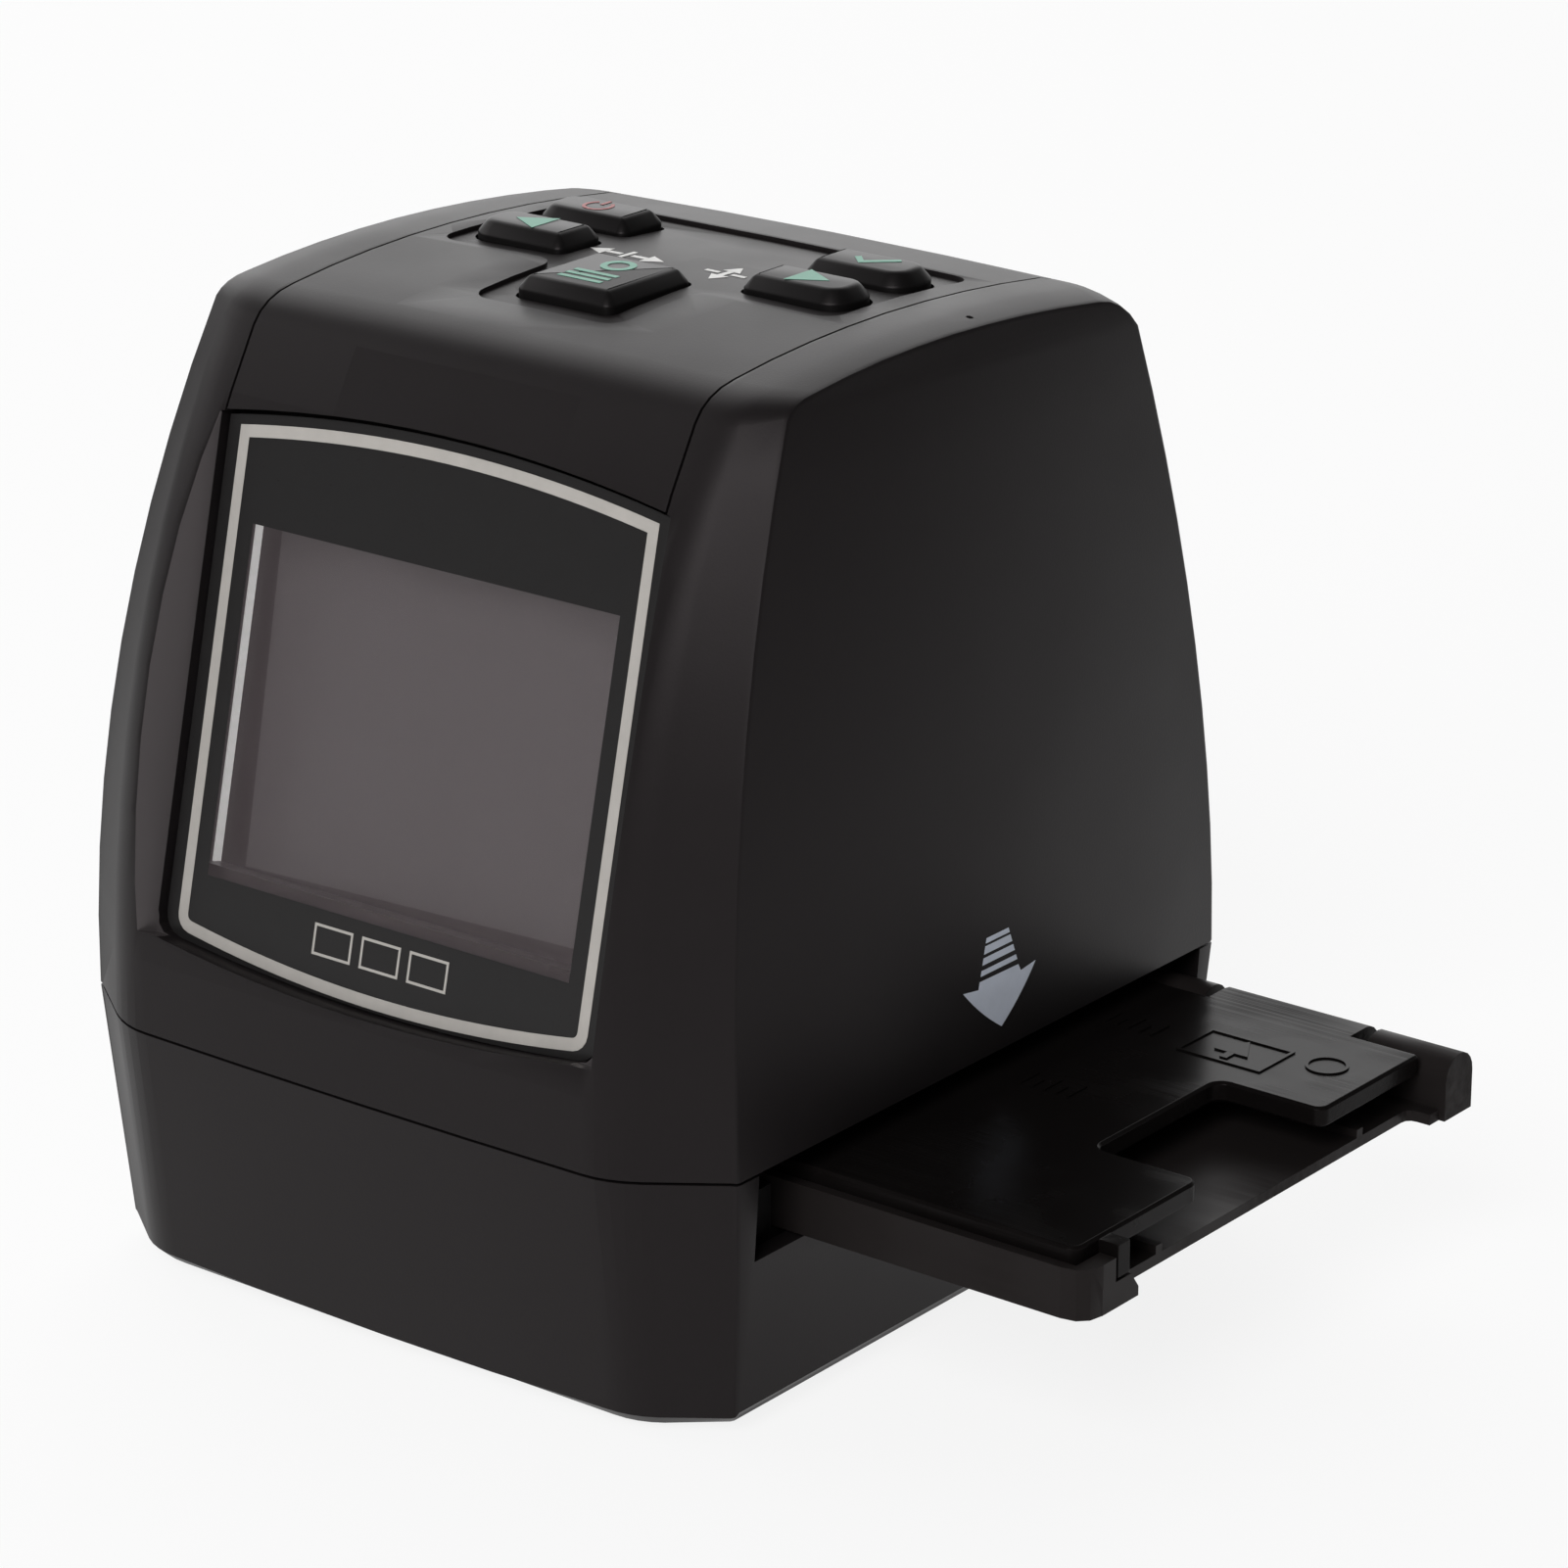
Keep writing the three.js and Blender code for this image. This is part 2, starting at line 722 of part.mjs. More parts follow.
function keyCap(key) {
  const top = topHeightAt(key.y) + keyRise;
  const low = flangeBottom - keySlopeHeight;
  const cap = solid(extruded(keyOutline(key, 0), low, top, keySlope, keySlopeHeight));
  const flange = solid(extruded(keyOutline(key, keyFlange), flangeBottom, flangeTop));
  const trim = centred(key.x, key.y, bodyWidth, bodyWidth, flangeBottom - overrun, flangeBottom);
  return cut(join(cap, flange), trim);
}

// Sunken field around the keys, a bar across the cover with a stem towards the screen
function keyFieldOutline() {
  const side = keySideX + keyWidth / 2 + keyFieldSideMargin;
  const front = keyFrontRowY - keyDepth / 2 - keyFieldFrontMargin;
  const back = keyBackRowY + keyDepth / 2 + keyFieldBackMargin;
  const stem = scanKeyWidth / 2 + keyFieldStemMargin;
  const tip = scanKeyY - scanKeyDepth / 2 - keyFieldFrontMargin;
  const round = keyFieldCorner;
  const shape = new THREE.Shape();
  shape.moveTo(-stem + round, tip);
  shape.absarc(stem - round, tip + round, round, -Math.PI / 2, 0);
  shape.absarc(stem + round, front - round, round, Math.PI, Math.PI / 2, true);
  shape.absarc(side - round, front + round, round, -Math.PI / 2, 0);
  shape.absarc(side - round, back - round, round, 0, Math.PI / 2);
  shape.absarc(-side + round, back - round, round, Math.PI / 2, Math.PI);
  shape.absarc(-side + round, front + round, round, Math.PI, 1.5 * Math.PI);
  shape.absarc(-stem - round, front - round, round, Math.PI / 2, 0, true);
  shape.absarc(-stem + round, tip + round, round, Math.PI, 1.5 * Math.PI);
  return shape;
}

function keyField() {
  const field = solid(extruded(keyFieldOutline(), sideHeight - shellWall, sideHeight + overrun));
  return cut(field, solid(housingGeometry(0, 1).translate(0, 0, -keyFieldDepth)));
}

const keyPosts = [[-keyPostSpan, keyPostFrontY], [keyPostSpan, keyPostFrontY], [0, keyPostBackY]];
const switchTop = flangeBottom - keyTravel - keyPressMargin;
const keyBoardTop = switchTop - switchButtonHeight - switchHeight - clearance;
const keyBoardBottom = keyBoardTop - keyBoardThickness;

function topCover() {
  const panel = shell.intersect(coverRegion(-clearance / 2));
  const posts = keyPosts.map(([x, y]) => post(
    x, y, keyPostRadius, keyBoardTop + clearance, sideHeight + overrun, smallSides,
  ).intersect(coreForm));
  const holes = keys.map((key) => solid(
    extruded(keyOutline(key, clearance), flangeBottom, sideHeight + overrun),
  ));
  const bores = keyPosts.map(([x, y]) => post(
    x, y, smallScrewShank + clearance,
    keyBoardBottom, keyBoardTop + smallScrewBite + 2 * clearance, smallSides,
  ));
  return cut(join(panel, ...posts), keyField(), ...holes, ...bores);
}

function keySwitch(key) {
  const base = keyBoardTop + clearance;
  const body = centred(key.x, key.y, switchSize, switchSize, base, base + switchHeight);
  return join(body, post(key.x, key.y, switchButtonRadius, base + switchHeight / 2, switchTop, smallSides));
}

function keyBoard() {
  const width = 2 * keySideX + keyWidth;
  const depth = keyBackRowY - scanKeyY + scanKeyDepth;
  const board = centred(0, (keyBackRowY + scanKeyY) / 2, width, depth, keyBoardBottom, keyBoardTop);
  const holes = keyPosts.map(([x, y]) => post(
    x, y, smallScrewShank + clearance, keyBoardBottom - overrun, keyBoardTop + overrun, smallSides,
  ));
  return cut(board, ...holes);
}

// Screws, turned about their axis, the head resting at height zero and the tip above it
function screwShape(shank, headHeight, length) {
  const outline = [
    [0, -headHeight], [screwHead, -headHeight], [screwHead, 0], [shank, 0], [shank, length], [0, length],
  ];
  const points = outline.map(([x, y]) => new THREE.Vector2(x, y));
  return new THREE.LatheGeometry(points, smallSides).rotateX(Math.PI / 2);
}

function smallScrew(thickness) {
  return screwShape(smallScrewShank, smallScrewHeadHeight, thickness + 2 * clearance + smallScrewBite);
}

// Base with its guides, screw posts, slots and foot seats
const postFrontY = baseScrewFrontInset - frontDepth;
const basePosts = [[-baseScrewX, postFrontY], [baseScrewX, postFrontY]];
const feet = [-footSpanX, footSpanX].flatMap((x) => [[x, -footSpanY], [x, footSpanY]]);
const screwSeat = seamHeight - screwSeatDrop;
const lipTop = seamHeight + lipHeight;
const lipInset = shellWall * lipShare;

const snapBack = slotBack + guideWall;
const snapTop = guideTop + snapRise;
const noseBottom = snapTop - snapNose;
const keeperTop = noseBottom - clearance;

const deckSeat = deckBottom - clearance;
const postBottom = baseBottom + shellWall / 2;
const deckPosts = [-deckPostX, deckPostX].flatMap((x) => [[x, -deckPostY], [x, deckPostY]]);

function guideWalls() {
  return join(
    block(-seamHalf, seamHalf, -slotFront - guideWall, -slotFront, postBottom, guideTop),
    block(-seamHalf, seamHalf, slotBack, snapBack, postBottom, guideTop),
  ).intersect(coreForm);
}

// Snaps that hold the back of the base, each behind a keeper inside the upper housing
function snapTabs() {
  return [-snapX, snapX].map((x) => join(
    block(x - snapWidth / 2, x + snapWidth / 2, slotBack, snapBack, screwSeat, snapTop),
    block(x - snapWidth / 2, x + snapWidth / 2, slotBack, snapBack + snapReach, noseBottom, snapTop),
  ));
}

function snapKeepers() {
  const low = keeperTop - snapKeeper;
  return [-snapX, snapX].map((x) => block(
    x - snapWidth / 2, x + snapWidth / 2, snapBack + clearance, backDepth, low, keeperTop,
  ));
}

function adapterSlots() {
  const inner = deckLength / 2;
  const right = block(inner, seamHalf + overrun, -slotFront, slotBack, slotFloor, sideHeight);
  const left = block(-seamHalf - overrun, -inner, -slotFront, slotBack, slotFloor, sideHeight);
  return [left, right];
}

function baseHousing() {
  const body = shell.intersect(below(seamHeight - clearance / 2));
  const lip = cut(housingForm(lipInset + clearance / 2), innerForm)
    .intersect(block(-bodyWidth, bodyWidth, -bodyWidth, bodyWidth, screwSeat, lipTop));
  const posts = basePosts.map(([x, y]) => post(
    x, y, basePostRadius, postBottom, seamHeight - clearance / 2,
  ).intersect(coreForm));
  const heads = basePosts.map(([x, y]) => post(
    x, y, screwHead + clearance, -overrun, screwSeat - clearance, smallSides,
  ));
  const shanks = basePosts.map(([x, y]) => post(
    x, y, screwShank + clearance, -overrun, seamHeight + overrun, smallSides,
  ));
  const seats = feet.map(([x, y]) => post(x, y, footRadius + clearance, -overrun, baseBottom + footSink));
  const channel = block(-seamHalf, seamHalf, -slotFront, slotBack, -overrun, seamHeight + overrun);
  const supports = deckPosts.map(([x, y]) => post(x, y, deckPostRadius, postBottom, deckSeat, smallSides));
  const pillars = join(cut(join(...posts), channel), ...supports);
  const inside = join(guideWalls(), pillars, ...snapTabs());
  return cut(join(body, lip, inside), ...adapterSlots(), ...heads, ...shanks, ...seats);
}

// Upper housing with its screen seat, cover ledge, bosses and port openings
const boardBack = mainBoardY + mainBoardThickness;
const boardPosts = [-mainPostSpan, mainPostSpan].flatMap((x) => [
  [x, mainBoardBottom + mainPostInset], [x, mainBoardTop - mainPostInset],
]);

function postAlongY(x, z, radius, y0, y1, sides) {
  const geometry = new THREE.CylinderGeometry(radius, radius, y1 - y0, sides);
  return solid(geometry.translate(x, (y0 + y1) / 2, z));
}

function housingBosses() {
  const top = seamHeight + bossHeight;
  const bottom = seamHeight + clearance / 2;
  const shafts = basePosts.map(([x, y]) => post(x, y, basePostRadius, bottom, top));
  const ribs = basePosts.map(([x, y]) => centred(
    x, y + Math.sign(y) * frontDepth / 2, bossRib, frontDepth, lipTop + clearance, top,
  ));
  const mounts = boardPosts.map(([x, z]) => postAlongY(
    x, z, mainPostRadius, boardBack + clearance, backDepth, smallSides,
  ));
  return join(...shafts, ...ribs, ...mounts, ...snapKeepers()).intersect(coreForm);
}

function portOpenings() {
  const y0 = boardBack + portReach - shellWall;
  const y1 = backDepth + overrun;
  const opening = (x, z, width, height) => block(
    x - width / 2 - clearance, x + width / 2 + clearance, y0, y1,
    z - height / 2 - clearance, z + height / 2 + clearance,
  );
  return [
    opening(usbX, portHeight, usbWidth, usbHeight),
    opening(0, cardSlotHeight, cardWidth, cardHeight),
    postAlongY(jackX, portHeight, jackRadius + clearance, y0, y1, roundSides),
  ];
}

function upperHousing() {
  const body = shell.intersect(above(seamHeight + clearance / 2));
  const rebate = cut(housingForm(lipInset - clearance / 2), housingForm(shellWall + clearance))
    .intersect(block(-bodyWidth, bodyWidth, -bodyWidth, bodyWidth, baseBottom, lipTop + clearance));
  const bores = basePosts.map(([x, y]) => post(
    x, y, screwShank + clearance, baseBottom, seamHeight + screwBite + 2 * clearance, smallSides,
  ));
  const boardBores = boardPosts.map(([x, z]) => postAlongY(
    x, z, smallScrewShank + clearance, mainBoardY, boardBack + smallScrewBite + 2 * clearance, smallSides,
  ));
  const whole = join(body, screenTub(), coverLedgeBand(), housingBosses());
  const upper = whole.intersect(above(seamHeight + clearance / 2));
  const pinhole = post(
    pinholeX, pinholeY, pinholeRadius, sideHeight - pinholeDepth, sideHeight + overrun, smallSides,
  );
  const cuts = [...screenCuts(), coverOpening(), rebate, pinhole];
  return cut(upper, ...cuts, ...bores, ...boardBores, ...portOpenings());
}

// Screen parts
function lensPanel() {
  return onLensPlane(extruded(recessOutline(-clearance), -lensThickness, 0, lensBevel));
}

function displayFrame() {
  const width = displayWidth + 2 * displayFrameWall;
  const height = displayHeight + 2 * displayFrameWall;
  const tray = lensBlock(0, displayRise, width, height, displayBack, frameFront);
  const ears = [-1, 1].map((side) => lensPost(
    side * displayEarSpan, displayRise, displayEarRadius, displayFront, frameFront,
  ));
  const arms = lensBlock(
    0, displayRise, 2 * displayEarSpan, displayEarRadius, displayFront, frameFront,
  );
  const pocket = lensBlock(
    0, displayRise, displayWidth + 2 * clearance, displayHeight + 2 * clearance,
    displayBack - overrun, displayFront + clearance,
  );
  const window = lensBlock(
    0, displayRise, displayWidth - 2 * displayGrip, windowHeight + clearance, -overrun, overrun,
  );
  const bores = [-1, 1].map((side) => lensPost(
    side * displayEarSpan, displayRise, smallScrewShank + clearance, displayBack - overrun, overrun,
  ));
  return cut(join(tray, arms, ...ears), pocket, window, ...bores);
}

function displayPanel() {
  return lensBlock(0, displayRise, displayWidth, displayHeight, displayBack, displayFront);
}

// Adapter deck, light unit and optics
function adapterDeck() {
  const half = deckLength / 2;
  const plate = block(-half, half, clearance - slotFront, slotBack - clearance, deckBottom, deckTop);
  const fenceBack = adapterFront - clearance;
  const fence = block(-half, half, fenceBack - fenceWidth, fenceBack, deckBottom, deckTop + fenceHeight);
  const aperture = centred(0, filmY, apertureLength, apertureWidth, deckBottom - overrun, deckTop + overrun);
  return cut(join(plate, fence), aperture);
}

const boxLength = apertureLength + 2 * boxMargin;
const boxWidth = apertureWidth + 2 * boxMargin;
const boxBottom = baseFloor + clearance;
const boxTop = deckBottom - clearance;

function lightBox() {
  const outer = centred(0, filmY, boxLength + 2 * boxWall, boxWidth + 2 * boxWall, boxBottom, boxTop);
  const inner = centred(0, filmY, boxLength, boxWidth, boxBottom - overrun, boxTop + overrun);
  const rebate = centred(
    0, filmY, boxLength + boxWall, boxWidth + boxWall,
    boxTop - diffuserThickness - clearance, boxTop + overrun,
  );
  return cut(outer, inner, rebate);
}

function diffuser() {
  const length = boxLength + boxWall - 2 * clearance;
  const width = boxWidth + boxWall - 2 * clearance;
  return centred(0, filmY, length, width, boxTop - diffuserThickness, boxTop);
}

const ledBoardTop = boxBottom + boardThickness;

function ledBoard() {
  return centred(0, filmY, boxLength - 2 * clearance, boxWidth - 2 * clearance, boxBottom, ledBoardTop);
}

function tapered(x, y, lower, upper, z0, z1) {
  const geometry = new THREE.BoxGeometry(1, 1, 1);
  const places = geometry.attributes.position;
  for (let i = 0; i < places.count; i += 1) {
    const [width, depth] = places.getZ(i) < 0 ? lower : upper;
    const z = places.getZ(i) < 0 ? z0 : z1;
    places.setXYZ(i, x + places.getX(i) * width, y + places.getY(i) * depth, z);
  }
  return solid(geometry);
}

const flangeLow = guideTop + clearance;
const towerBottom = flangeLow + opticFlange;
const towerTop = towerBottom + towerHeight;

function opticTower() {
  const front = -slotFront - guideWall;
  const back = slotBack + guideWall;
  const flange = block(-towerFlangeWidth / 2, towerFlangeWidth / 2, front, back, flangeLow, towerBottom);
  const base = [apertureLength, apertureWidth];
  const head = [towerTopSize, towerTopSize];
  const thick = ([width, depth]) => [width + 2 * towerWall, depth + 2 * towerWall];
  const walls = tapered(0, filmY, thick(base), thick(head), flangeLow, towerTop);
  const hollow = tapered(0, filmY, base, head, flangeLow, towerTop - towerTopPlate);
  const opening = centred(0, filmY, ...base, flangeLow - overrun, flangeLow + opticFlange);
  const plate = centred(0, filmY, sensorBoardWidth, sensorBoardDepth, towerTop - towerTopPlate, towerTop);
  const posts = [-towerPostSpan, towerPostSpan].map((x) => post(
    x, filmY, towerPostRadius, towerTop - towerTopPlate, towerTop + towerPostHeight, smallSides,
  ));
  const bores = [-towerPostSpan, towerPostSpan].map((x) => post(
    x, filmY, smallScrewShank + clearance, towerTop + towerPostHeight - smallScrewBite - clearance,
    towerTop + towerPostHeight + overrun, smallSides,
  ));
  const bore = post(0, filmY, barrelRadius + clearance, towerTop - overrun, towerTop + overrun);
  return cut(join(walls, flange, plate, ...posts), hollow, opening, bore, ...bores);
}

const collarBottom = towerTop + clearance;
const barrelTop = collarBottom + barrelAbove;
const glassTop = barrelTop - barrelStep - clearance;

function turned(outline, sides) {
  const points = outline.map(([x, y]) => new THREE.Vector2(x, y));
  return new THREE.LatheGeometry(points, sides).rotateX(Math.PI / 2).translate(0, filmY, 0);
}

function lensBarrel() {
  const low = towerTop - barrelBelow;
  const collar = barrelRadius + barrelCollarReach;
  const narrow = barrelBore - barrelStep;
  const ledge = barrelTop - barrelStep;
  return turned([
    [barrelBore, low], [barrelRadius, low], [barrelRadius, collarBottom], [collar, collarBottom],
    [collar, collarBottom + barrelCollar], [barrelRadius, collarBottom + barrelCollar],
    [barrelRadius, barrelTop], [narrow, barrelTop], [narrow, ledge], [barrelBore, ledge], [barrelBore, low],
  ], roundSides);
}

function lensGlass() {
  const rim = barrelBore - clearance;
  const low = glassTop - lensDiscThickness;
  return turned([
    [0, low], [rim * glassCrownShare, low + lensDiscThickness * glassDipShare],
    [rim, low + lensDiscThickness * glassRimShare], [rim, glassTop], [0, glassTop],
  ], roundSides);
}

const sensorBoardBottom = towerTop + towerPostHeight + clearance;
const sensorBoardTop = sensorBoardBottom + boardThickness;

function sensorBoard() {
  const board = centred(0, filmY, sensorBoardWidth, sensorBoardDepth, sensorBoardBottom, sensorBoardTop);
  const holes = [-towerPostSpan, towerPostSpan].map((x) => post(
    x, filmY, smallScrewShank + clearance, sensorBoardBottom - overrun, sensorBoardTop + overrun, smallSides,
  ));
  return cut(board, ...holes);
}

// Main board and ports
function mainBoard() {
  const board = block(
    -mainBoardWidth / 2, mainBoardWidth / 2, mainBoardY, boardBack, mainBoardBottom, mainBoardTop,
  );
  const holes = boardPosts.map(([x, z]) => postAlongY(
    x, z, smallScrewShank + clearance, mainBoardY - overrun, boardBack + overrun, smallSides,
  ));
  return cut(board, ...holes);
}

const portBack = boardBack + clearance;
const portEnd = boardBack + portReach;

function portShell(x, z, width, height, depth) {
  const body = block(x - width / 2, x + width / 2, portBack, portEnd, z - height / 2, z + height / 2);
  const hollow = block(
    x - width / 2 + portWall, x + width / 2 - portWall, portEnd - depth, portEnd + overrun,
    z - height / 2 + portWall, z + height / 2 - portWall,
  );
  return cut(body, hollow);
}

function usbPort() {
  const tongue = centred(
    usbX, (portBack + portEnd - portWall) / 2, usbWidth / 2, portEnd - portWall - portBack,
    portHeight + portWall / 2, portHeight + portWall * 2,
  );
  return join(portShell(usbX, portHeight, usbWidth, usbHeight, portReach - cardMouth), tongue);
}

function avJack() {
  const back = block(jackX - jackRadius, jackX + jackRadius, portBack, portBack + cardMouth,
    portHeight - jackRadius, portHeight + jackRadius);
  const barrel = postAlongY(jackX, portHeight, jackRadius, portBack, portEnd, roundSides);
  const bore = postAlongY(jackX, portHeight, jackBore, portBack + portWall, portEnd + overrun, smallSides);
  return cut(join(back, barrel), bore);
}

// Film adapter
const frameHole = (z0, z1) => centred(0, filmY, frameLength, frameWidth, z0, z1);
const shoulderY = adapterFront + railShoulder;
const knuckleFront = hingeY - hingeRadius;
const floorEnd = adapterReach - adapterFloorSetback;
const knuckleEnd = adapterReach + knuckleReach;
const coverBarrelOuter = knuckleEnd - hingeOuterKnuckle - hingeGap;
const coverBarrelInner = adapterInner + hingeOuterKnuckle + hingeGap;
const coverBarrels = [
  [coverBarrelOuter - hingeCoverKnuckle, coverBarrelOuter],
  [coverBarrelInner, coverBarrelInner + hingeCoverKnuckle],
];
const baseBarrels = [
  [coverBarrels[0][1] + hingeGap, knuckleEnd],
  [coverBarrels[1][1] + hingeGap, coverBarrels[0][0] - hingeGap],
  [adapterInner, coverBarrels[1][0] - hingeGap],
];

function barrelAlongX(x0, x1, radius, sides) {
  const geometry = new THREE.CylinderGeometry(radius, radius, x1 - x0, sides);
  return solid(geometry.rotateZ(Math.PI / 2).translate((x0 + x1) / 2, hingeY, hingeZ));
}

const pins = [
  [coverBarrels[0][0] - hingeGap - hingePinGrip, coverBarrels[0][1] + hingeGap + hingePinReach],
  [adapterInner + hingeOuterKnuckle - hingePinReach, coverBarrels[1][1] + hingeGap + hingePinGrip],
];
const pinBores = () => pins.map(([x0, x1]) => barrelAlongX(
  x0 - clearance, x1 + clearance, hingePinRadius + clearance, smallSides,
));

function adapterRail() {
  const railBack = adapterFront + railWidth;
  const outline = new THREE.Shape();
  outline.moveTo(adapterInner, adapterFront);
  outline.lineTo(adapterReach - railCorner, adapterFront);
  outline.quadraticCurveTo(adapterReach, adapterFront, adapterReach, adapterFront + railCorner);
  outline.lineTo(adapterReach, railBack);
  outline.lineTo(adapterInner, railBack);
  const rail = solid(extruded(outline, adapterBottom, railTop));
  const shoulder = block(
    adapterInner - overrun, plateEnd + clearance, shoulderY, adapterBack, plateBottom - clearance, plateTop,
  );
  return cut(rail, shoulder);
}

function adapterFloor() {
  const flareY = knuckleFront - flareSetback;
  const outline = new THREE.Shape();
  outline.moveTo(adapterInner, adapterFront + railWidth / 2);
  outline.lineTo(floorEnd, adapterFront + railWidth / 2);
  outline.lineTo(floorEnd, flareY - flareRound);
  outline.quadraticCurveTo(floorEnd, flareY, floorEnd + flareRound, flareY);
  outline.lineTo(floorEnd + flareReach, flareY);
  outline.lineTo(floorEnd + flareReach, adapterBack);
  outline.lineTo(adapterInner, adapterBack);
  return solid(extruded(outline, adapterBottom, adapterFloorTop));
}

// Ledge under the latch tab with a ramp down to the floor's edge, drawn across and run along X
const tabFront = adapterFront + railWidth + clearance;
const catchTop = adapterBottom + catchHeight;

function catchLedge() {
  const rampY = tabFront + latchTabWidth + clearance;
  const section = new THREE.Shape([
    new THREE.Vector2(tabFront - railWidth / 2, adapterBottom),
    new THREE.Vector2(rampY + catchRamp, adapterBottom),
    new THREE.Vector2(rampY + catchRamp, catchTop - catchRampDrop),
    new THREE.Vector2(rampY, catchTop),
    new THREE.Vector2(tabFront - railWidth / 2, catchTop),
  ]);
  const run = extruded(section, floorEnd - catchLength, adapterReach);
  return solid(run.rotateX(Math.PI / 2).rotateZ(Math.PI / 2));
}

function adapterBase() {
  const ribs = [-1, 1].map((side) => centred(
    (adapterInner + floorEnd) / 2, filmY + side * (filmWidth + filmRibWidth) / 2, floorEnd - adapterInner,
    filmRibWidth, adapterBottom, adapterFloorTop + filmRibHeight,
  ));
  const farRail = block(
    adapterInner, floorEnd, adapterBack - farRailWidth, adapterBack,
    adapterBottom, adapterBottom + farRailHeight,
  );
  const blocks = baseBarrels.map(([x0, x1]) => join(
    block(x0, x1, knuckleFront, adapterBack, adapterBottom, hingeZ),
    barrelAlongX(x0, x1, hingeRadius, roundSides),
  ));
  const body = join(adapterFloor(), adapterRail(), farRail, catchLedge(), ...ribs, ...blocks);
  return cut(body, frameHole(adapterBottom - overrun, plateTop + overrun), ...pinBores());
}

// Outline of the cover plate with the finger notch in its end
function plateOutline() {
  const [x0, x1] = [adapterInner + clearance, plateEnd];
  const [y0, y1] = [shoulderY + clearance, knuckleFront - clearance];
  const middle = filmY - notchShift;
  const [low, high] = [middle - notchWidth / 2, middle + notchWidth / 2];
  const deep = x1 - notchLength + notchCorner;
  const [round, tight] = [plateCorner, plateHingeCorner];
  const shape = new THREE.Shape();
  shape.moveTo(x0 + round, y0);
  shape.absarc(x1 - round, y0 + round, round, -Math.PI / 2, 0);
  shape.absarc(x1 - round, low - round, round, 0, Math.PI / 2);
  shape.absarc(deep, low + notchCorner, notchCorner, 1.5 * Math.PI, Math.PI, true);
  shape.absarc(deep, high - notchCorner, notchCorner, Math.PI, Math.PI / 2, true);
  shape.absarc(x1 - round, high + round, round, -Math.PI / 2, 0);
  shape.absarc(x1 - tight, y1 - tight, tight, 0, Math.PI / 2);
  shape.absarc(x0 + tight, y1 - tight, tight, Math.PI / 2, Math.PI);
  shape.absarc(x0 + round, y0 + round, round, Math.PI, 1.5 * Math.PI);
  return shape;
}

function adapterCover() {
  const plate = solid(extruded(plateOutline(), plateBottom, plateTop, plateBevel));
  const hinges = coverBarrels.map(([x0, x1]) => join(
    block(x0, x1, knuckleFront - clearance - hingeRadius, hingeY, plateBottom, plateTop),
    barrelAlongX(x0, x1, hingeRadius, roundSides),
  ));
  const presses = [-1, 1].map((side) => centred(
    0, filmY + side * (frameWidth / 2 + pressRibWidth), apertureLength, pressRibWidth,
    adapterFloorTop + 2 * clearance, plateTop - plateBevel,
  ));
  const tab = block(
    adapterReach - latchTabInset, adapterReach, tabFront, tabFront + latchTabWidth,
    catchTop + clearance, plateTop - plateBevel,
  );
  const gate = frameHole(plateBottom - overrun, plateTop + overrun);
  return cut(join(plate, ...hinges, ...presses, tab), gate, ...pinBores());
}

// Assembly
addPart('base_housing', baseHousing(), plasticBlack);
addPart('upper_housing', upperHousing(), plasticBlack);
addPart('top_cover', topCover(), plasticBlack);
addPart('screen_lens', lensPanel(), glossBlack);
addPart('display_frame', displayFrame(), plasticDark);
addPart('display_panel', displayPanel(), screenGrey);

feet.forEach(([x, y], i) => {
  const top = baseBottom + footSink - clearance;
  addPart(`foot_${i + 1}`, post(x, y, footRadius, 0, top), rubberBlack);
});

basePosts.forEach(([x, y], i) => {
  const length = screwSeatDrop + screwBite;
  const screw = screwShape(screwShank, screwHeadHeight, length);
  addPart(`housing_screw_${i + 1}`, screw.translate(x, y, screwSeat - clearance), steel);
});

[-1, 1].forEach((side, i) => {
  const screw = smallScrew(displayFramePlate).translate(
    side * displayEarSpan, displayRise, displayFront - clearance,
  );
  addPart(`display_screw_${i + 1}`, screw.applyMatrix4(lensFrame), steel);
});

for (const key of keys) {
  addPart(`${key.name}_key`, keyCap(key), plasticBlack);
  addPart(`${key.name}_switch`, keySwitch(key), switchGrey);
}
addPart('key_board', keyBoard(), boardGreen);
keyPosts.forEach(([x, y], i) => {
  const screw = smallScrew(keyBoardThickness).translate(x, y, keyBoardBottom - clearance);
  addPart(`key_board_screw_${i + 1}`, screw, steel);
});

addPart('adapter_deck', adapterDeck(), plasticDark);
addPart('light_box', lightBox(), opalWhite);
addPart('diffuser', diffuser(), opalWhite);
addPart('led_board', ledBoard(), boardGreen);
[-1, 1].flatMap((x) => [-1, 1].map((y) => [x * ledSpanX, filmY + y * ledSpanY])).forEach(([x, y], i) => {
  const low = ledBoardTop + clearance;
  addPart(`led_${i + 1}`, centred(x, y, ledSize, ledSize, low, low + ledHeight), opalWhite);
});

addPart('optic_tower', opticTower(), plasticDark);
addPart('lens_barrel', lensBarrel(), plasticDark);
addPart('lens_glass', lensGlass(), opticGlass);
addPart('sensor_board', sensorBoard(), boardGreen);
const sensorTop = sensorBoardBottom - clearance;
const sensor = centred(0, filmY, sensorSize, sensorSize, sensorTop - sensorHeight, sensorTop);
addPart('image_sensor', sensor, glossBlack);
[-towerPostSpan, towerPostSpan].forEach((x, i) => {
  const screw = smallScrew(boardThickness - clearance).rotateX(Math.PI);
  addPart(`sensor_board_screw_${i + 1}`, screw.translate(x, filmY, sensorBoardTop + clearance), steel);
});

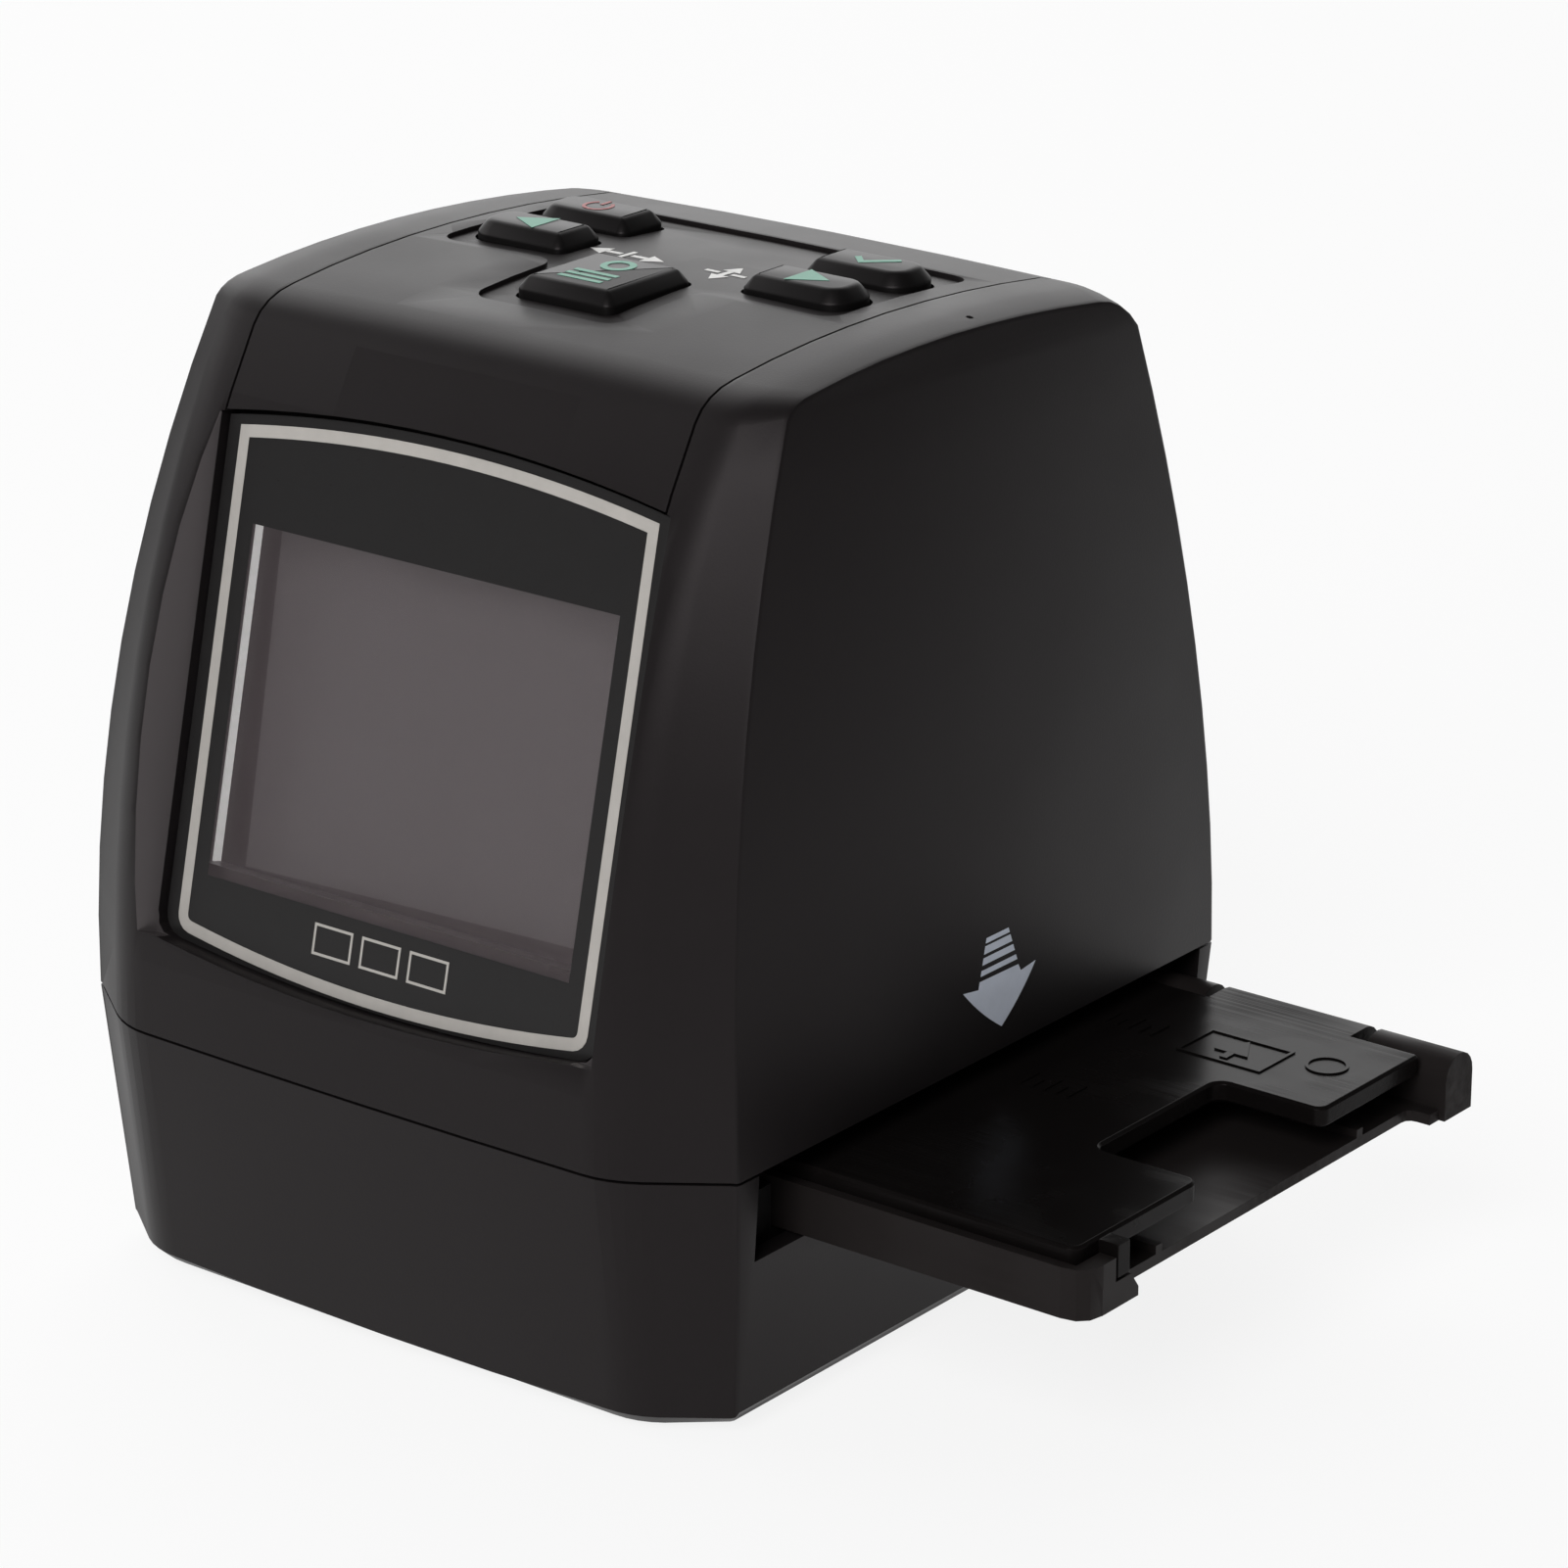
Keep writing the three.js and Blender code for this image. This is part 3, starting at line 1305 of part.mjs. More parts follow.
addPart('main_board', mainBoard(), boardGreen);
boardPosts.forEach(([x, z], i) => {
  const screw = smallScrew(mainBoardThickness).rotateX(-Math.PI / 2);
  addPart(`main_board_screw_${i + 1}`, screw.translate(x, mainBoardY - clearance, z), steel);
});
addPart('usb_port', usbPort(), steel);
addPart('av_jack', avJack(), plasticDark);
addPart('card_slot', portShell(0, cardSlotHeight, cardWidth, cardHeight, portReach - cardMouth), steel);

addPart('adapter_base', adapterBase(), plasticBlack);
addPart('adapter_cover', adapterCover(), plasticDark);
pins.forEach(([x0, x1], i) => {
  addPart(`adapter_hinge_pin_${i + 1}`, barrelAlongX(x0, x1, hingePinRadius, smallSides), steel);
});

// The origin lies under the middle of the whole scanner, on the surface that it stands on
const bounds = new THREE.Box3().setFromObject(scanner);
const middle = bounds.getCenter(new THREE.Vector3());
scanner.position.set(-middle.x, -middle.y, -bounds.min.z);
scanner.updateMatrixWorld(true);

export default scanner;
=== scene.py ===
from math import cos, pi, radians, sin

import bmesh
import bpy
from mathutils import Matrix, Vector
from mathutils.bvhtree import BVHTree


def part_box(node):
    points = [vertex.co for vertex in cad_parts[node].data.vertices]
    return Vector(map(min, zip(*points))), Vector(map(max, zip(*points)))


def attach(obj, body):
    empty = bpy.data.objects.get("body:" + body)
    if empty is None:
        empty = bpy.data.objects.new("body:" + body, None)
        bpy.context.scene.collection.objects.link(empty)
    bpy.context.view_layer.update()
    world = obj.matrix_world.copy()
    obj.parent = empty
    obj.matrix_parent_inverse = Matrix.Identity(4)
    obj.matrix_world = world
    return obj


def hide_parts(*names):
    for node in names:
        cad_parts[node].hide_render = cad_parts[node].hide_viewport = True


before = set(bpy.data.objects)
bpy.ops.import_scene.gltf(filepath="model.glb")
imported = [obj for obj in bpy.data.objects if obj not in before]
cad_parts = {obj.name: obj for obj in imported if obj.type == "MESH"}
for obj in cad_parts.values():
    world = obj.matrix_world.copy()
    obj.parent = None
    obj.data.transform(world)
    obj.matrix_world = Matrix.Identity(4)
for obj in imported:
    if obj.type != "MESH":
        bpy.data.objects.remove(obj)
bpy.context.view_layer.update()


# The set: a pale table in a dim room, with a white backdrop behind on the left and three soft
# lamps. The scanner's own middle isn't the middle of the row, because the adapter sticks out.
MM = 0.001
DECK_SHIFT = -0.45
deck_low, deck_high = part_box("adapter_deck")
HOUSING_MIDDLE = Vector((
    (deck_low[0] + deck_high[0]) / 2,
    (deck_low[1] + deck_high[1]) / 2 + DECK_SHIFT * MM,
    0,
))

VIEW_TURN = radians(38)
VIEW_DROP = radians(20)
VIEW_DISTANCE = 622.72
VIEW_RIGHT = 13.147
VIEW_HEIGHT = 49.041
LENS_LENGTH = 134.92
SENSOR_WIDTH = 36
NEAREST_SEEN = 0.01
TABLE_SIZE = 6
TABLE_COLOUR = (0.97, 0.97, 0.97, 1)
TABLE_GLOW = 0.86
GLOW_NEAR = 0.16
GLOW_FAR = 0.38
FAR_SHARE = 0.35
BACKDROP_WAY = (-0.58, 0.74, 0.34)
BACKDROP_EDGE = 0.55
BACKDROP_FULL = 0.97
BACKDROP_STRENGTH = 1.1
ROOM_DIM = 0.10
LAMP_AIM = 50
LAMPS = (
    ("back_lamp", (-900, 900, 800), 1.4, 7.5),
    ("left_lamp", (-1300, -400, 700), 0.9, 5),
    ("front_lamp", (400, -1250, 1000), 0.8, 16),
)


def spot(x, y, z):
    """A place in millimetres from the middle of the housing's underside."""
    return Vector((x, y, z)) * MM + HOUSING_MIDDLE


camera = bpy.data.objects.new("camera", bpy.data.cameras.new("camera"))
camera.data.lens = LENS_LENGTH
camera.data.sensor_width = SENSOR_WIDTH
camera.data.clip_start = NEAREST_SEEN
camera.rotation_euler = (pi / 2 - VIEW_DROP, 0, VIEW_TURN)
camera.location = spot(
    sin(VIEW_TURN) * cos(VIEW_DROP) * VIEW_DISTANCE + cos(VIEW_TURN) * VIEW_RIGHT,
    -cos(VIEW_TURN) * cos(VIEW_DROP) * VIEW_DISTANCE + sin(VIEW_TURN) * VIEW_RIGHT,
    sin(VIEW_DROP) * VIEW_DISTANCE + VIEW_HEIGHT,
)
bpy.context.collection.objects.link(camera)
bpy.context.scene.camera = camera
bpy.context.scene.view_settings.view_transform = "Standard"


def add_node(tree, kind, **settings):
    """Puts one node in a shader, with its settings and the values of its sockets."""
    made = tree.nodes.new(kind)
    for name, value in settings.items():
        if hasattr(made, name):
            setattr(made, name, value)
        else:
            made.inputs[name.replace("_", " ")].default_value = value
    return made


def join_up(tree, *pairs):
    """Links node outputs to inputs, each given as (node, output, node, input)."""
    for giver, output, taker, target in pairs:
        tree.links.new(giver.outputs[output], taker.inputs[target])


# What the scanner mirrors of the table fades with distance; what the camera sees of it doesn't.
table_paint = bpy.data.materials.new("table_paint")
table_paint.use_nodes = True
tree = table_paint.node_tree
tree.nodes.clear()
matt = add_node(tree, "ShaderNodeBsdfDiffuse", Color=TABLE_COLOUR)
glow = add_node(tree, "ShaderNodeEmission", Color=(1, 1, 1, 1), Strength=1.0)
seen = add_node(tree, "ShaderNodeLightPath")
glossy = add_node(tree, "ShaderNodeMath", operation="MAXIMUM")
through = add_node(tree, "ShaderNodeMath", operation="MAXIMUM")
place = add_node(tree, "ShaderNodeTexCoord")
reach = add_node(tree, "ShaderNodeVectorMath", operation="LENGTH")
fade = add_node(
    tree, "ShaderNodeMapRange",
    From_Min=GLOW_NEAR, From_Max=GLOW_FAR, To_Min=1.0, To_Max=FAR_SHARE,
)
mirrored = add_node(tree, "ShaderNodeMath", operation="MULTIPLY")
share = add_node(tree, "ShaderNodeMath", operation="MULTIPLY")
share.inputs[1].default_value = TABLE_GLOW
blend = add_node(tree, "ShaderNodeMixShader")
out = add_node(tree, "ShaderNodeOutputMaterial")
join_up(
    tree,
    (seen, "Is Camera Ray", glossy, 0),
    (place, "Object", reach, 0),
    (reach, "Value", fade, "Value"),
    (seen, "Is Glossy Ray", mirrored, 0),
    (fade, 0, mirrored, 1),
    (mirrored, 0, glossy, 1),
    (glossy, 0, through, 0),
    (seen, "Is Transmission Ray", through, 1),
    (through, 0, share, 0),
    (share, 0, blend, 0),
    (matt, 0, blend, 1),
    (glow, 0, blend, 2),
    (blend, 0, out, "Surface"),
)
shape = bmesh.new()
bmesh.ops.create_grid(shape, x_segments=1, y_segments=1, size=TABLE_SIZE / 2)
table = bpy.data.objects.new("table", bpy.data.meshes.new("table"))
shape.to_mesh(table.data)
shape.free()
table.data.materials.append(table_paint)
bpy.context.collection.objects.link(table)

room = bpy.data.worlds.new("studio_room")
room.use_nodes = True
bpy.context.scene.world = room
tree = room.node_tree
tree.nodes.clear()
way = add_node(tree, "ShaderNodeTexCoord")
facing = add_node(tree, "ShaderNodeVectorMath", operation="DOT_PRODUCT")
facing.inputs[1].default_value = BACKDROP_WAY
level = add_node(
    tree, "ShaderNodeMapRange", interpolation_type="SMOOTHSTEP",
    From_Min=BACKDROP_EDGE, From_Max=BACKDROP_FULL, To_Min=ROOM_DIM, To_Max=BACKDROP_STRENGTH,
)
sky = add_node(tree, "ShaderNodeBackground", Color=(1, 1, 1, 1))
out = add_node(tree, "ShaderNodeOutputWorld")
join_up(
    tree,
    (way, "Generated", facing, 0),
    (facing, "Value", level, "Value"),
    (level, 0, sky, "Strength"),
    (sky, 0, out, "Surface"),
)


def soft_lamp(name, place, target, size, power):
    """A square soft box that faces a place on the object."""
    lamp = bpy.data.objects.new(name, bpy.data.lights.new(name, "AREA"))
    lamp.data.shape = "SQUARE"
    lamp.data.size = size
    lamp.data.energy = power
    lamp.location = place
    lamp.rotation_euler = (place - target).to_track_quat("Z", "Y").to_euler()
    bpy.context.collection.objects.link(lamp)


for name, place, size, power in LAMPS:
    soft_lamp(name, spot(*place), spot(0, 0, LAMP_AIM), size, power)


# The housing: a base, an upper shell and a top cover, moulded in matt black plastic with a fine
# grain; screws and snaps hold them. They are the imported shapes with their edges rounded, and the
# sides of the screen's recess are cut to lean away from it and polished. Those sides are painted
# lighter than the shell's plastic, as painted light for the light they catch.
GRAIN_SIZE = 0.25
PATCH_SCALE = 45.0
WELD = 0.002
EDGE_STEPS = 2
SHELL_EDGE = 0.22
FACE_MERGE = 0.2
DOMED_MERGE = 0.02
SHELL_DARK = (0.0088, 0.0075, 0.0078, 1)
SHELL_PALE = (0.0120, 0.0102, 0.0105, 1)
# Painted light: the recess sides' colours are the shell's plastic made lighter for the light they
# catch.
RECESS_PAINTED_LIGHT_DARK = (0.046, 0.041, 0.042, 1)
RECESS_PAINTED_LIGHT_PALE = (0.056, 0.050, 0.051, 1)
DUST_COLOUR = (0.30, 0.28, 0.26, 1)
SHELL_SHEEN = 0.15
GLOSS_TINT = (1.0, 0.92, 0.94, 1)
SHARP_ANGLE = radians(30)
LENS_Y = -39.35
LENS_Z = 65.905
LENS_LEAN = radians(13.3)
LENS_PLACE = (
    Matrix.Translation(HOUSING_MIDDLE)
    @ Matrix.Scale(MM, 4)
    @ Matrix.Translation((0, LENS_Y, LENS_Z))
    @ Matrix.Rotation(pi / 2 - LENS_LEAN, 4, "X")
)
RECESS_HALF_WIDTH = 29.45
RECESS_INSIDE = 24
FLARE_DEPTH = 14
FLARE_START = 0.9
FLARE_HALF_HEIGHT = 27.3
FLARE_REACH = 7.6


def new_group(name, inputs, outputs):
    """Starts a shared effect, with its named values going in and coming out."""
    group = bpy.data.node_groups.new(name, "ShaderNodeTree")
    for label, value in inputs.items():
        socket = group.interface.new_socket(
            name=label, in_out="INPUT", socket_type="NodeSocketFloat"
        )
        socket.default_value = value
    for label in outputs:
        group.interface.new_socket(name=label, in_out="OUTPUT", socket_type="NodeSocketFloat")
    return group, group.nodes.new("NodeGroupInput"), group.nodes.new("NodeGroupOutput")


grain_group, given, result = new_group(
    "moulded_grain",
    {"Grain Scale": 4000.0, "Patch Scale": 40.0},
    ("Height", "Patch"),
)
place = add_node(grain_group, "ShaderNodeTexCoord")
fine = add_node(grain_group, "ShaderNodeTexNoise", Detail=3.0, Roughness=0.6)
broad = add_node(grain_group, "ShaderNodeTexNoise", Detail=4.0, Roughness=0.55)
join_up(
    grain_group,
    (place, "Object", fine, "Vector"),
    (place, "Object", broad, "Vector"),
    (given, "Grain Scale", fine, "Scale"),
    (given, "Patch Scale", broad, "Scale"),
    (fine, "Fac", result, "Height"),
    (broad, "Fac", result, "Patch"),
)

dust_group, given, result = new_group(
    "dust_specks",
    {"Speck Scale": 130.0, "Speck Size": 0.022, "Share": 0.1},
    ("Speck",),
)
place = add_node(dust_group, "ShaderNodeTexCoord")
cells = add_node(dust_group, "ShaderNodeTexVoronoi", feature="F1")
near = add_node(dust_group, "ShaderNodeMath", operation="LESS_THAN")
split = add_node(dust_group, "ShaderNodeSeparateColor")
chosen = add_node(dust_group, "ShaderNodeMath", operation="LESS_THAN")
both = add_node(dust_group, "ShaderNodeMath", operation="MULTIPLY")
join_up(
    dust_group,
    (place, "Object", cells, "Vector"),
    (given, "Speck Scale", cells, "Scale"),
    (cells, "Distance", near, 0),
    (given, "Speck Size", near, 1),
    (cells, "Color", split, "Color"),
    (split, "Red", chosen, 0),
    (given, "Share", chosen, 1),
    (near, 0, both, 0),
    (chosen, 0, both, 1),
    (both, 0, result, "Speck"),
)


def use_group(tree, group, **values):
    """Places a shared effect in a material with that material's own values."""
    made = tree.nodes.new("ShaderNodeGroup")
    made.node_tree = group
    for name, value in values.items():
        made.inputs[name.replace("_", " ")].default_value = value
    return made


def drifting_finish(name, dark, pale, rough, grain_scale, patch_scale, gloss_by="Patch"):
    """Starts a material whose tone and gloss drift a little over the surface."""
    paint = bpy.data.materials.new(name)
    paint.use_nodes = True
    tree = paint.node_tree
    shader = tree.nodes["Principled BSDF"]
    grain = use_group(tree, grain_group, Grain_Scale=grain_scale, Patch_Scale=patch_scale)
    tone = add_node(tree, "ShaderNodeMix", data_type="RGBA")
    tone.inputs["A"].default_value = dark
    tone.inputs["B"].default_value = pale
    gloss = add_node(tree, "ShaderNodeMapRange", To_Min=rough[0], To_Max=rough[1])
    join_up(
        tree,
        (grain, "Patch", tone, "Factor"),
        (tone, "Result", shader, "Base Color"),
        (grain, gloss_by, gloss, "Value"),
        (gloss, "Result", shader, "Roughness"),
    )
    return paint, shader, grain, tone


def moulded_plastic(name, dark, pale, sheen, rough, grain_mm, depth_mm, dust=0.0):
    """Moulded plastic: a slight drift of tone and gloss, a fine grain, and a few specks of dust."""
    paint, shader, grain, tone = drifting_finish(
        name, dark, pale, rough, 1 / (grain_mm * MM), PATCH_SCALE
    )
    tree = paint.node_tree
    shader.inputs["Specular IOR Level"].default_value = sheen
    shader.inputs["Specular Tint"].default_value = GLOSS_TINT
    specks = use_group(tree, dust_group, Share=dust)
    dusty = add_node(tree, "ShaderNodeMix", data_type="RGBA")
    dusty.inputs["B"].default_value = DUST_COLOUR
    relief = add_node(tree, "ShaderNodeBump", Strength=1.0, Distance=depth_mm * MM)
    join_up(
        tree,
        (tone, "Result", dusty, "A"),
        (specks, "Speck", dusty, "Factor"),
        (dusty, "Result", shader, "Base Color"),
        (grain, "Height", relief, "Height"),
        (relief, "Normal", shader, "Normal"),
    )
    return paint


def link_piece(name, mesh, body, paint):
    """Makes an object of a finished mesh and lets it ride on its body."""
    piece = bpy.data.objects.new(name, mesh)
    mesh.materials.append(paint)
    bpy.context.collection.objects.link(piece)
    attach(piece, body)
    return piece


def flare_cutter():
    """The two wedges that the sides of the screen's recess lean away from the screen by."""
    wedges = bmesh.new()
    for side in (-1, 1):
        corners = (
            (RECESS_INSIDE, FLARE_START), (RECESS_HALF_WIDTH, FLARE_START),
            (RECESS_HALF_WIDTH + FLARE_REACH, FLARE_DEPTH), (RECESS_INSIDE, FLARE_DEPTH),
        )
        ring_of_four = [
            wedges.verts.new((side * x, -FLARE_HALF_HEIGHT, depth)) for x, depth in corners
        ]
        end = wedges.faces.new(ring_of_four)
        raised = bmesh.ops.extrude_face_region(wedges, geom=[end], use_keep_orig=True)["geom"]
        for point in raised:
            if isinstance(point, bmesh.types.BMVert):
                point.co.y = FLARE_HALF_HEIGHT
    bmesh.ops.recalc_face_normals(wedges, faces=wedges.faces)
    bmesh.ops.transform(wedges, matrix=LENS_PLACE, verts=wedges.verts)
    for face in wedges.faces:
        face.material_index = 1
    return wedges


def cut_away(shape, cutter):
    """Takes one closed shape out of another and gives back the cut one.

    Each has two empty paint slots, so that the cut faces keep the number of the knife's.
    """
    pair = []
    for half in (shape, cutter):
        mesh = bpy.data.meshes.new("cutting")
        half.to_mesh(mesh)
        half.free()
        pair.append(bpy.data.objects.new("cutting", mesh))
        bpy.context.collection.objects.link(pair[-1])
        mesh.materials.append(None)
        mesh.materials.append(None)
    knife = pair[0].modifiers.new("knife", "BOOLEAN")
    knife.operation = "DIFFERENCE"
    knife.solver = "EXACT"
    knife.object = pair[1]
    knife.material_mode = "INDEX"
    seen_now = pair[0].evaluated_get(bpy.context.evaluated_depsgraph_get())
    cut = bmesh.new()
    cut.from_mesh(seen_now.to_mesh())
    for half in pair:
        bpy.data.objects.remove(half)
    return cut


def finished_moulding(node, body, paint, edge, cutter=None, merge=FACE_MERGE):
    """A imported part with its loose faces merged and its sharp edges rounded.

    The top cover is domed so slightly that only a smaller merge angle keeps its shading even.
    """
    shape = bmesh.new()
    shape.from_mesh(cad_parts[node].data)
    bmesh.ops.remove_doubles(shape, verts=shape.verts, dist=WELD * MM)
    if cutter:
        shape = cut_away(shape, cutter)
    bmesh.ops.dissolve_limit(
        shape, angle_limit=radians(merge), verts=shape.verts, edges=shape.edges
    )
    mesh = bpy.data.meshes.new(node + "_moulding")
    shape.to_mesh(mesh)
    shape.free()
    mesh.shade_smooth()
    mesh.set_sharp_from_angle(angle=SHARP_ANGLE)
    piece = link_piece(node + "_moulding", mesh, body, paint)
    round_off = piece.modifiers.new("rounded_edges", "BEVEL")
    round_off.limit_method = "ANGLE"
    round_off.angle_limit = SHARP_ANGLE
    round_off.width = edge * MM
    round_off.segments = EDGE_STEPS
    round_off.harden_normals = True
    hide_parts(node)
    return piece


shell_paint = moulded_plastic(
    "housing_plastic", SHELL_DARK, SHELL_PALE,
    sheen=SHELL_SHEEN, rough=(0.36, 0.50), grain_mm=GRAIN_SIZE, depth_mm=0.010, dust=0.1,
)
# Painted light: the recess sides are the shell's plastic, painted about five times lighter.
polished_painted_light_paint = moulded_plastic(
    "polished_recess_painted_light", RECESS_PAINTED_LIGHT_DARK, RECESS_PAINTED_LIGHT_PALE,
    sheen=0.4, rough=(0.22, 0.28), grain_mm=GRAIN_SIZE, depth_mm=0.001,
)
finished_moulding("base_housing", "scanner", shell_paint, SHELL_EDGE)
finished_moulding(
    "top_cover", "scanner", shell_paint, SHELL_EDGE, merge=DOMED_MERGE
)
shell = finished_moulding(
    "upper_housing", "scanner", shell_paint, SHELL_EDGE, cutter=flare_cutter()
)
shell.data.materials.append(polished_painted_light_paint)


# The five keys: glossier black caps with softly rounded rims and a flange below that the cover
# keeps in. Each stands on its switch and carries a printed sign, green or, for power, red; two
# white signs are printed on the cover between them.
KEY_FLANGE = 1.0
KEY_FLANGE_HEIGHT = 1.0
KEY_OUTER_ROUND = 2.8
KEY_INNER_ROUND = 1.2
KEY_SLOPE = 1.15
KEY_SLOPE_HEIGHT = 1.4
KEY_TOP_SOFT = 0.4
KEY_SHOULDER_SOFT = 0.16
KEY_CORNER_STEPS = 6
KEY_SOFT_STEPS = 3
KEY_WELD = 0.15
SLACK = 0.01
KEY_DARK = (0.0045, 0.0042, 0.0042, 1)
KEY_PALE = (0.0062, 0.0058, 0.0058, 1)

PRINT_LIFT = 0.02
PRINT_THICKNESS = 0.03
GREEN_INK = (0.10, 0.36, 0.25, 1)
RED_INK = (0.34, 0.045, 0.045, 1)
WHITE_INK = (0.78, 0.77, 0.75, 1)
INK_SHEEN = 0.3
INK_THINNEST = 0.82
INK_GLOSS_DRIFT = 0.06
FINE_SLACK = 0.001
STROKE_CUTS = 4
RING_STEPS = 28
OVERHEAD = 130
SIGN_PLACES = {
    "power": (-18.2, 12.7), "left": (-18.0, 2.3), "scan": (0.0, -8.4), "right": (18.0, 2.3),
    "ok": (18.4, 12.7), "mirror": (-6.4, 3.1), "flip": (6.3, 3.6),
}
POWER_RING = 1.75
POWER_ARC = (125, 415)
POWER_BAR = (0.5, 2.1)
POWER_LINE = 0.42
TRIANGLE = 2.7
SCAN_RING = 1.9
SCAN_RING_UP = 2.4
SCAN_RING_LINE = 0.75
SCAN_ROWS = (-1.1, -2.4, -3.7)
SCAN_ROW_HALF = 2.8
SIGN_LINE = 0.7
THIN_LINE = 0.6
MIRROR_RUN = (0.7, 2.8)
MIRROR_TIP = 3.4
MIRROR_TIP_SIZE = 1.5
MIRROR_BAR = 1.5
FLIP_RUN = (0.8, 2.6)
FLIP_TIP = 1.6
FLIP_TIP_SIZE = 1.3
FLIP_BAR = 1.1
TICK = ((-2.5, 0.1), (-2.0, 0.6), (-0.8, -0.6), (2.1, 1.9), (2.6, 1.35), (-0.75, -1.6))


def key_cap(node, body):
    """One key: its flange, its upright cap and the rounded rim of its top."""
    low, high = (Vector(corner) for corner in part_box(node))
    middle = (low + high) / 2
    shape = bmesh.new()
    bmesh.ops.create_grid(shape, x_segments=1, y_segments=1, size=0.5)
    bmesh.ops.scale(shape, vec=(high.x - low.x, high.y - low.y, 1), verts=shape.verts)
    for side in (-1, 1):
        outward = side * (middle.x - HOUSING_MIDDLE.x) > KEY_SLOPE * MM
        bend = (KEY_OUTER_ROUND if outward else KEY_INNER_ROUND) + KEY_FLANGE
        corners = [point for point in shape.verts if point.co.x * side > 0]
        bmesh.ops.bevel(
            shape, geom=corners, offset=bend * MM, affect="VERTICES",
            segments=KEY_CORNER_STEPS, profile=0.5, material=-1,
        )
    bmesh.ops.translate(shape, vec=(middle.x, middle.y, low.z), verts=shape.verts)
    shoulder = high.z - KEY_SLOPE_HEIGHT * MM
    for height in (low.z + KEY_FLANGE_HEIGHT * MM, shoulder):
        top = max(shape.faces, key=lambda face: face.calc_center_median().z)
        if height == shoulder:
            bmesh.ops.inset_region(
                shape, faces=[top], thickness=KEY_FLANGE * MM, use_even_offset=True
            )
        raised = bmesh.ops.extrude_face_region(shape, geom=[top])["geom"]
        if height == shoulder:
            bmesh.ops.delete(shape, geom=[top], context="FACES")
        for point in raised:
            if isinstance(point, bmesh.types.BMVert):
                point.co.z = height
    top = max(shape.faces, key=lambda face: face.calc_center_median().z)
    bmesh.ops.inset_region(
        shape, faces=[top], thickness=KEY_SLOPE * MM, depth=KEY_SLOPE_HEIGHT * MM,
        use_even_offset=True,
    )
    bmesh.ops.remove_doubles(shape, verts=top.verts[:], dist=KEY_WELD * MM)
    for level, soft in ((high.z, KEY_TOP_SOFT), (shoulder, KEY_SHOULDER_SOFT)):
        rim = [
            edge for edge in shape.edges
            if all(abs(end.co.z - level) < SLACK * MM for end in edge.verts)
        ]
        bmesh.ops.bevel(
            shape, geom=rim, offset=soft * MM, affect="EDGES",
            segments=KEY_SOFT_STEPS, profile=0.5, material=-1,
        )
    bmesh.ops.recalc_face_normals(shape, faces=shape.faces)
    mesh = bpy.data.meshes.new(node + "_cap")
    shape.to_mesh(mesh)
    shape.free()
    mesh.shade_smooth()
    mesh.set_sharp_from_angle(angle=SHARP_ANGLE)
    piece = link_piece(node + "_cap", mesh, body, key_paint)
    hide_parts(node)


key_paint = moulded_plastic(
    "key_plastic", KEY_DARK, KEY_PALE,
    sheen=0.17, rough=(0.36, 0.44), grain_mm=0.18, depth_mm=0.004, dust=0.05,
)
for key in ("power", "left", "scan", "right", "ok"):
    key_cap(key + "_key", key + "_button")


def ink(name, colour, rough=0.45):
    """Printed ink: an even coat with a faint mottle in its tone and gloss."""
    thin = [INK_THINNEST * part for part in colour[:3]] + [1]
    paint, shader, _, _ = drifting_finish(
        name, thin, colour, (rough - INK_GLOSS_DRIFT, rough + INK_GLOSS_DRIFT),
        grain_scale=5000.0, patch_scale=400.0, gloss_by="Height",
    )
    shader.inputs["Specular IOR Level"].default_value = INK_SHEEN
    return paint


def surface_of(*nodes):
    """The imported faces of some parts, for laying a print on them."""
    shape = bmesh.new()
    for node in nodes:
        shape.from_mesh(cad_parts[node].data)
    faces = BVHTree.FromBMesh(shape)
    shape.free()
    return faces


def stroke(shape, start, end, width):
    """Adds one straight printed line, in millimetres on the flat."""
    run = Vector(end) - Vector(start)
    made = bmesh.ops.create_grid(shape, x_segments=STROKE_CUTS, y_segments=1, size=0.5)["verts"]
    bmesh.ops.scale(shape, vec=(run.length, width, 1), verts=made)
    turn = Matrix.Rotation(run.to_2d().angle_signed(Vector((1, 0))), 3, "Z")
    bmesh.ops.rotate(shape, cent=(0, 0, 0), matrix=turn, verts=made)
    bmesh.ops.translate(shape, vec=((Vector(start) + Vector(end)) / 2).to_3d(), verts=made)


def turned(degrees):
    """A turn on the flat, for placing parts of a sign."""
    return Matrix.Rotation(radians(degrees), 3, "Z")


def ring(shape, centre, outer, width, start=0, end=360):
    """Adds a printed ring or an open arc of it."""
    foot = Vector((centre[0], centre[1], 0))
    inner = shape.verts.new(foot + Vector((outer - width, 0, 0)))
    rim = shape.verts.new(foot + Vector((outer, 0, 0)))
    line = shape.edges.new((inner, rim))
    bmesh.ops.rotate(shape, cent=foot, matrix=turned(start), verts=[inner, rim])
    bmesh.ops.spin(
        shape, geom=[inner, rim, line], cent=foot, axis=(0, 0, 1), dvec=(0, 0, 0),
        angle=radians(end - start), steps=RING_STEPS, use_merge=end - start == 360,
    )


def wedge(shape, centre, radius, turn):
    """Adds a filled triangle that points along its turn."""
    made = bmesh.ops.create_circle(shape, cap_ends=True, segments=3, radius=radius)["verts"]
    bmesh.ops.rotate(shape, cent=(0, 0, 0), matrix=turned(turn), verts=made)
    bmesh.ops.translate(shape, vec=(centre[0], centre[1], 0), verts=made)


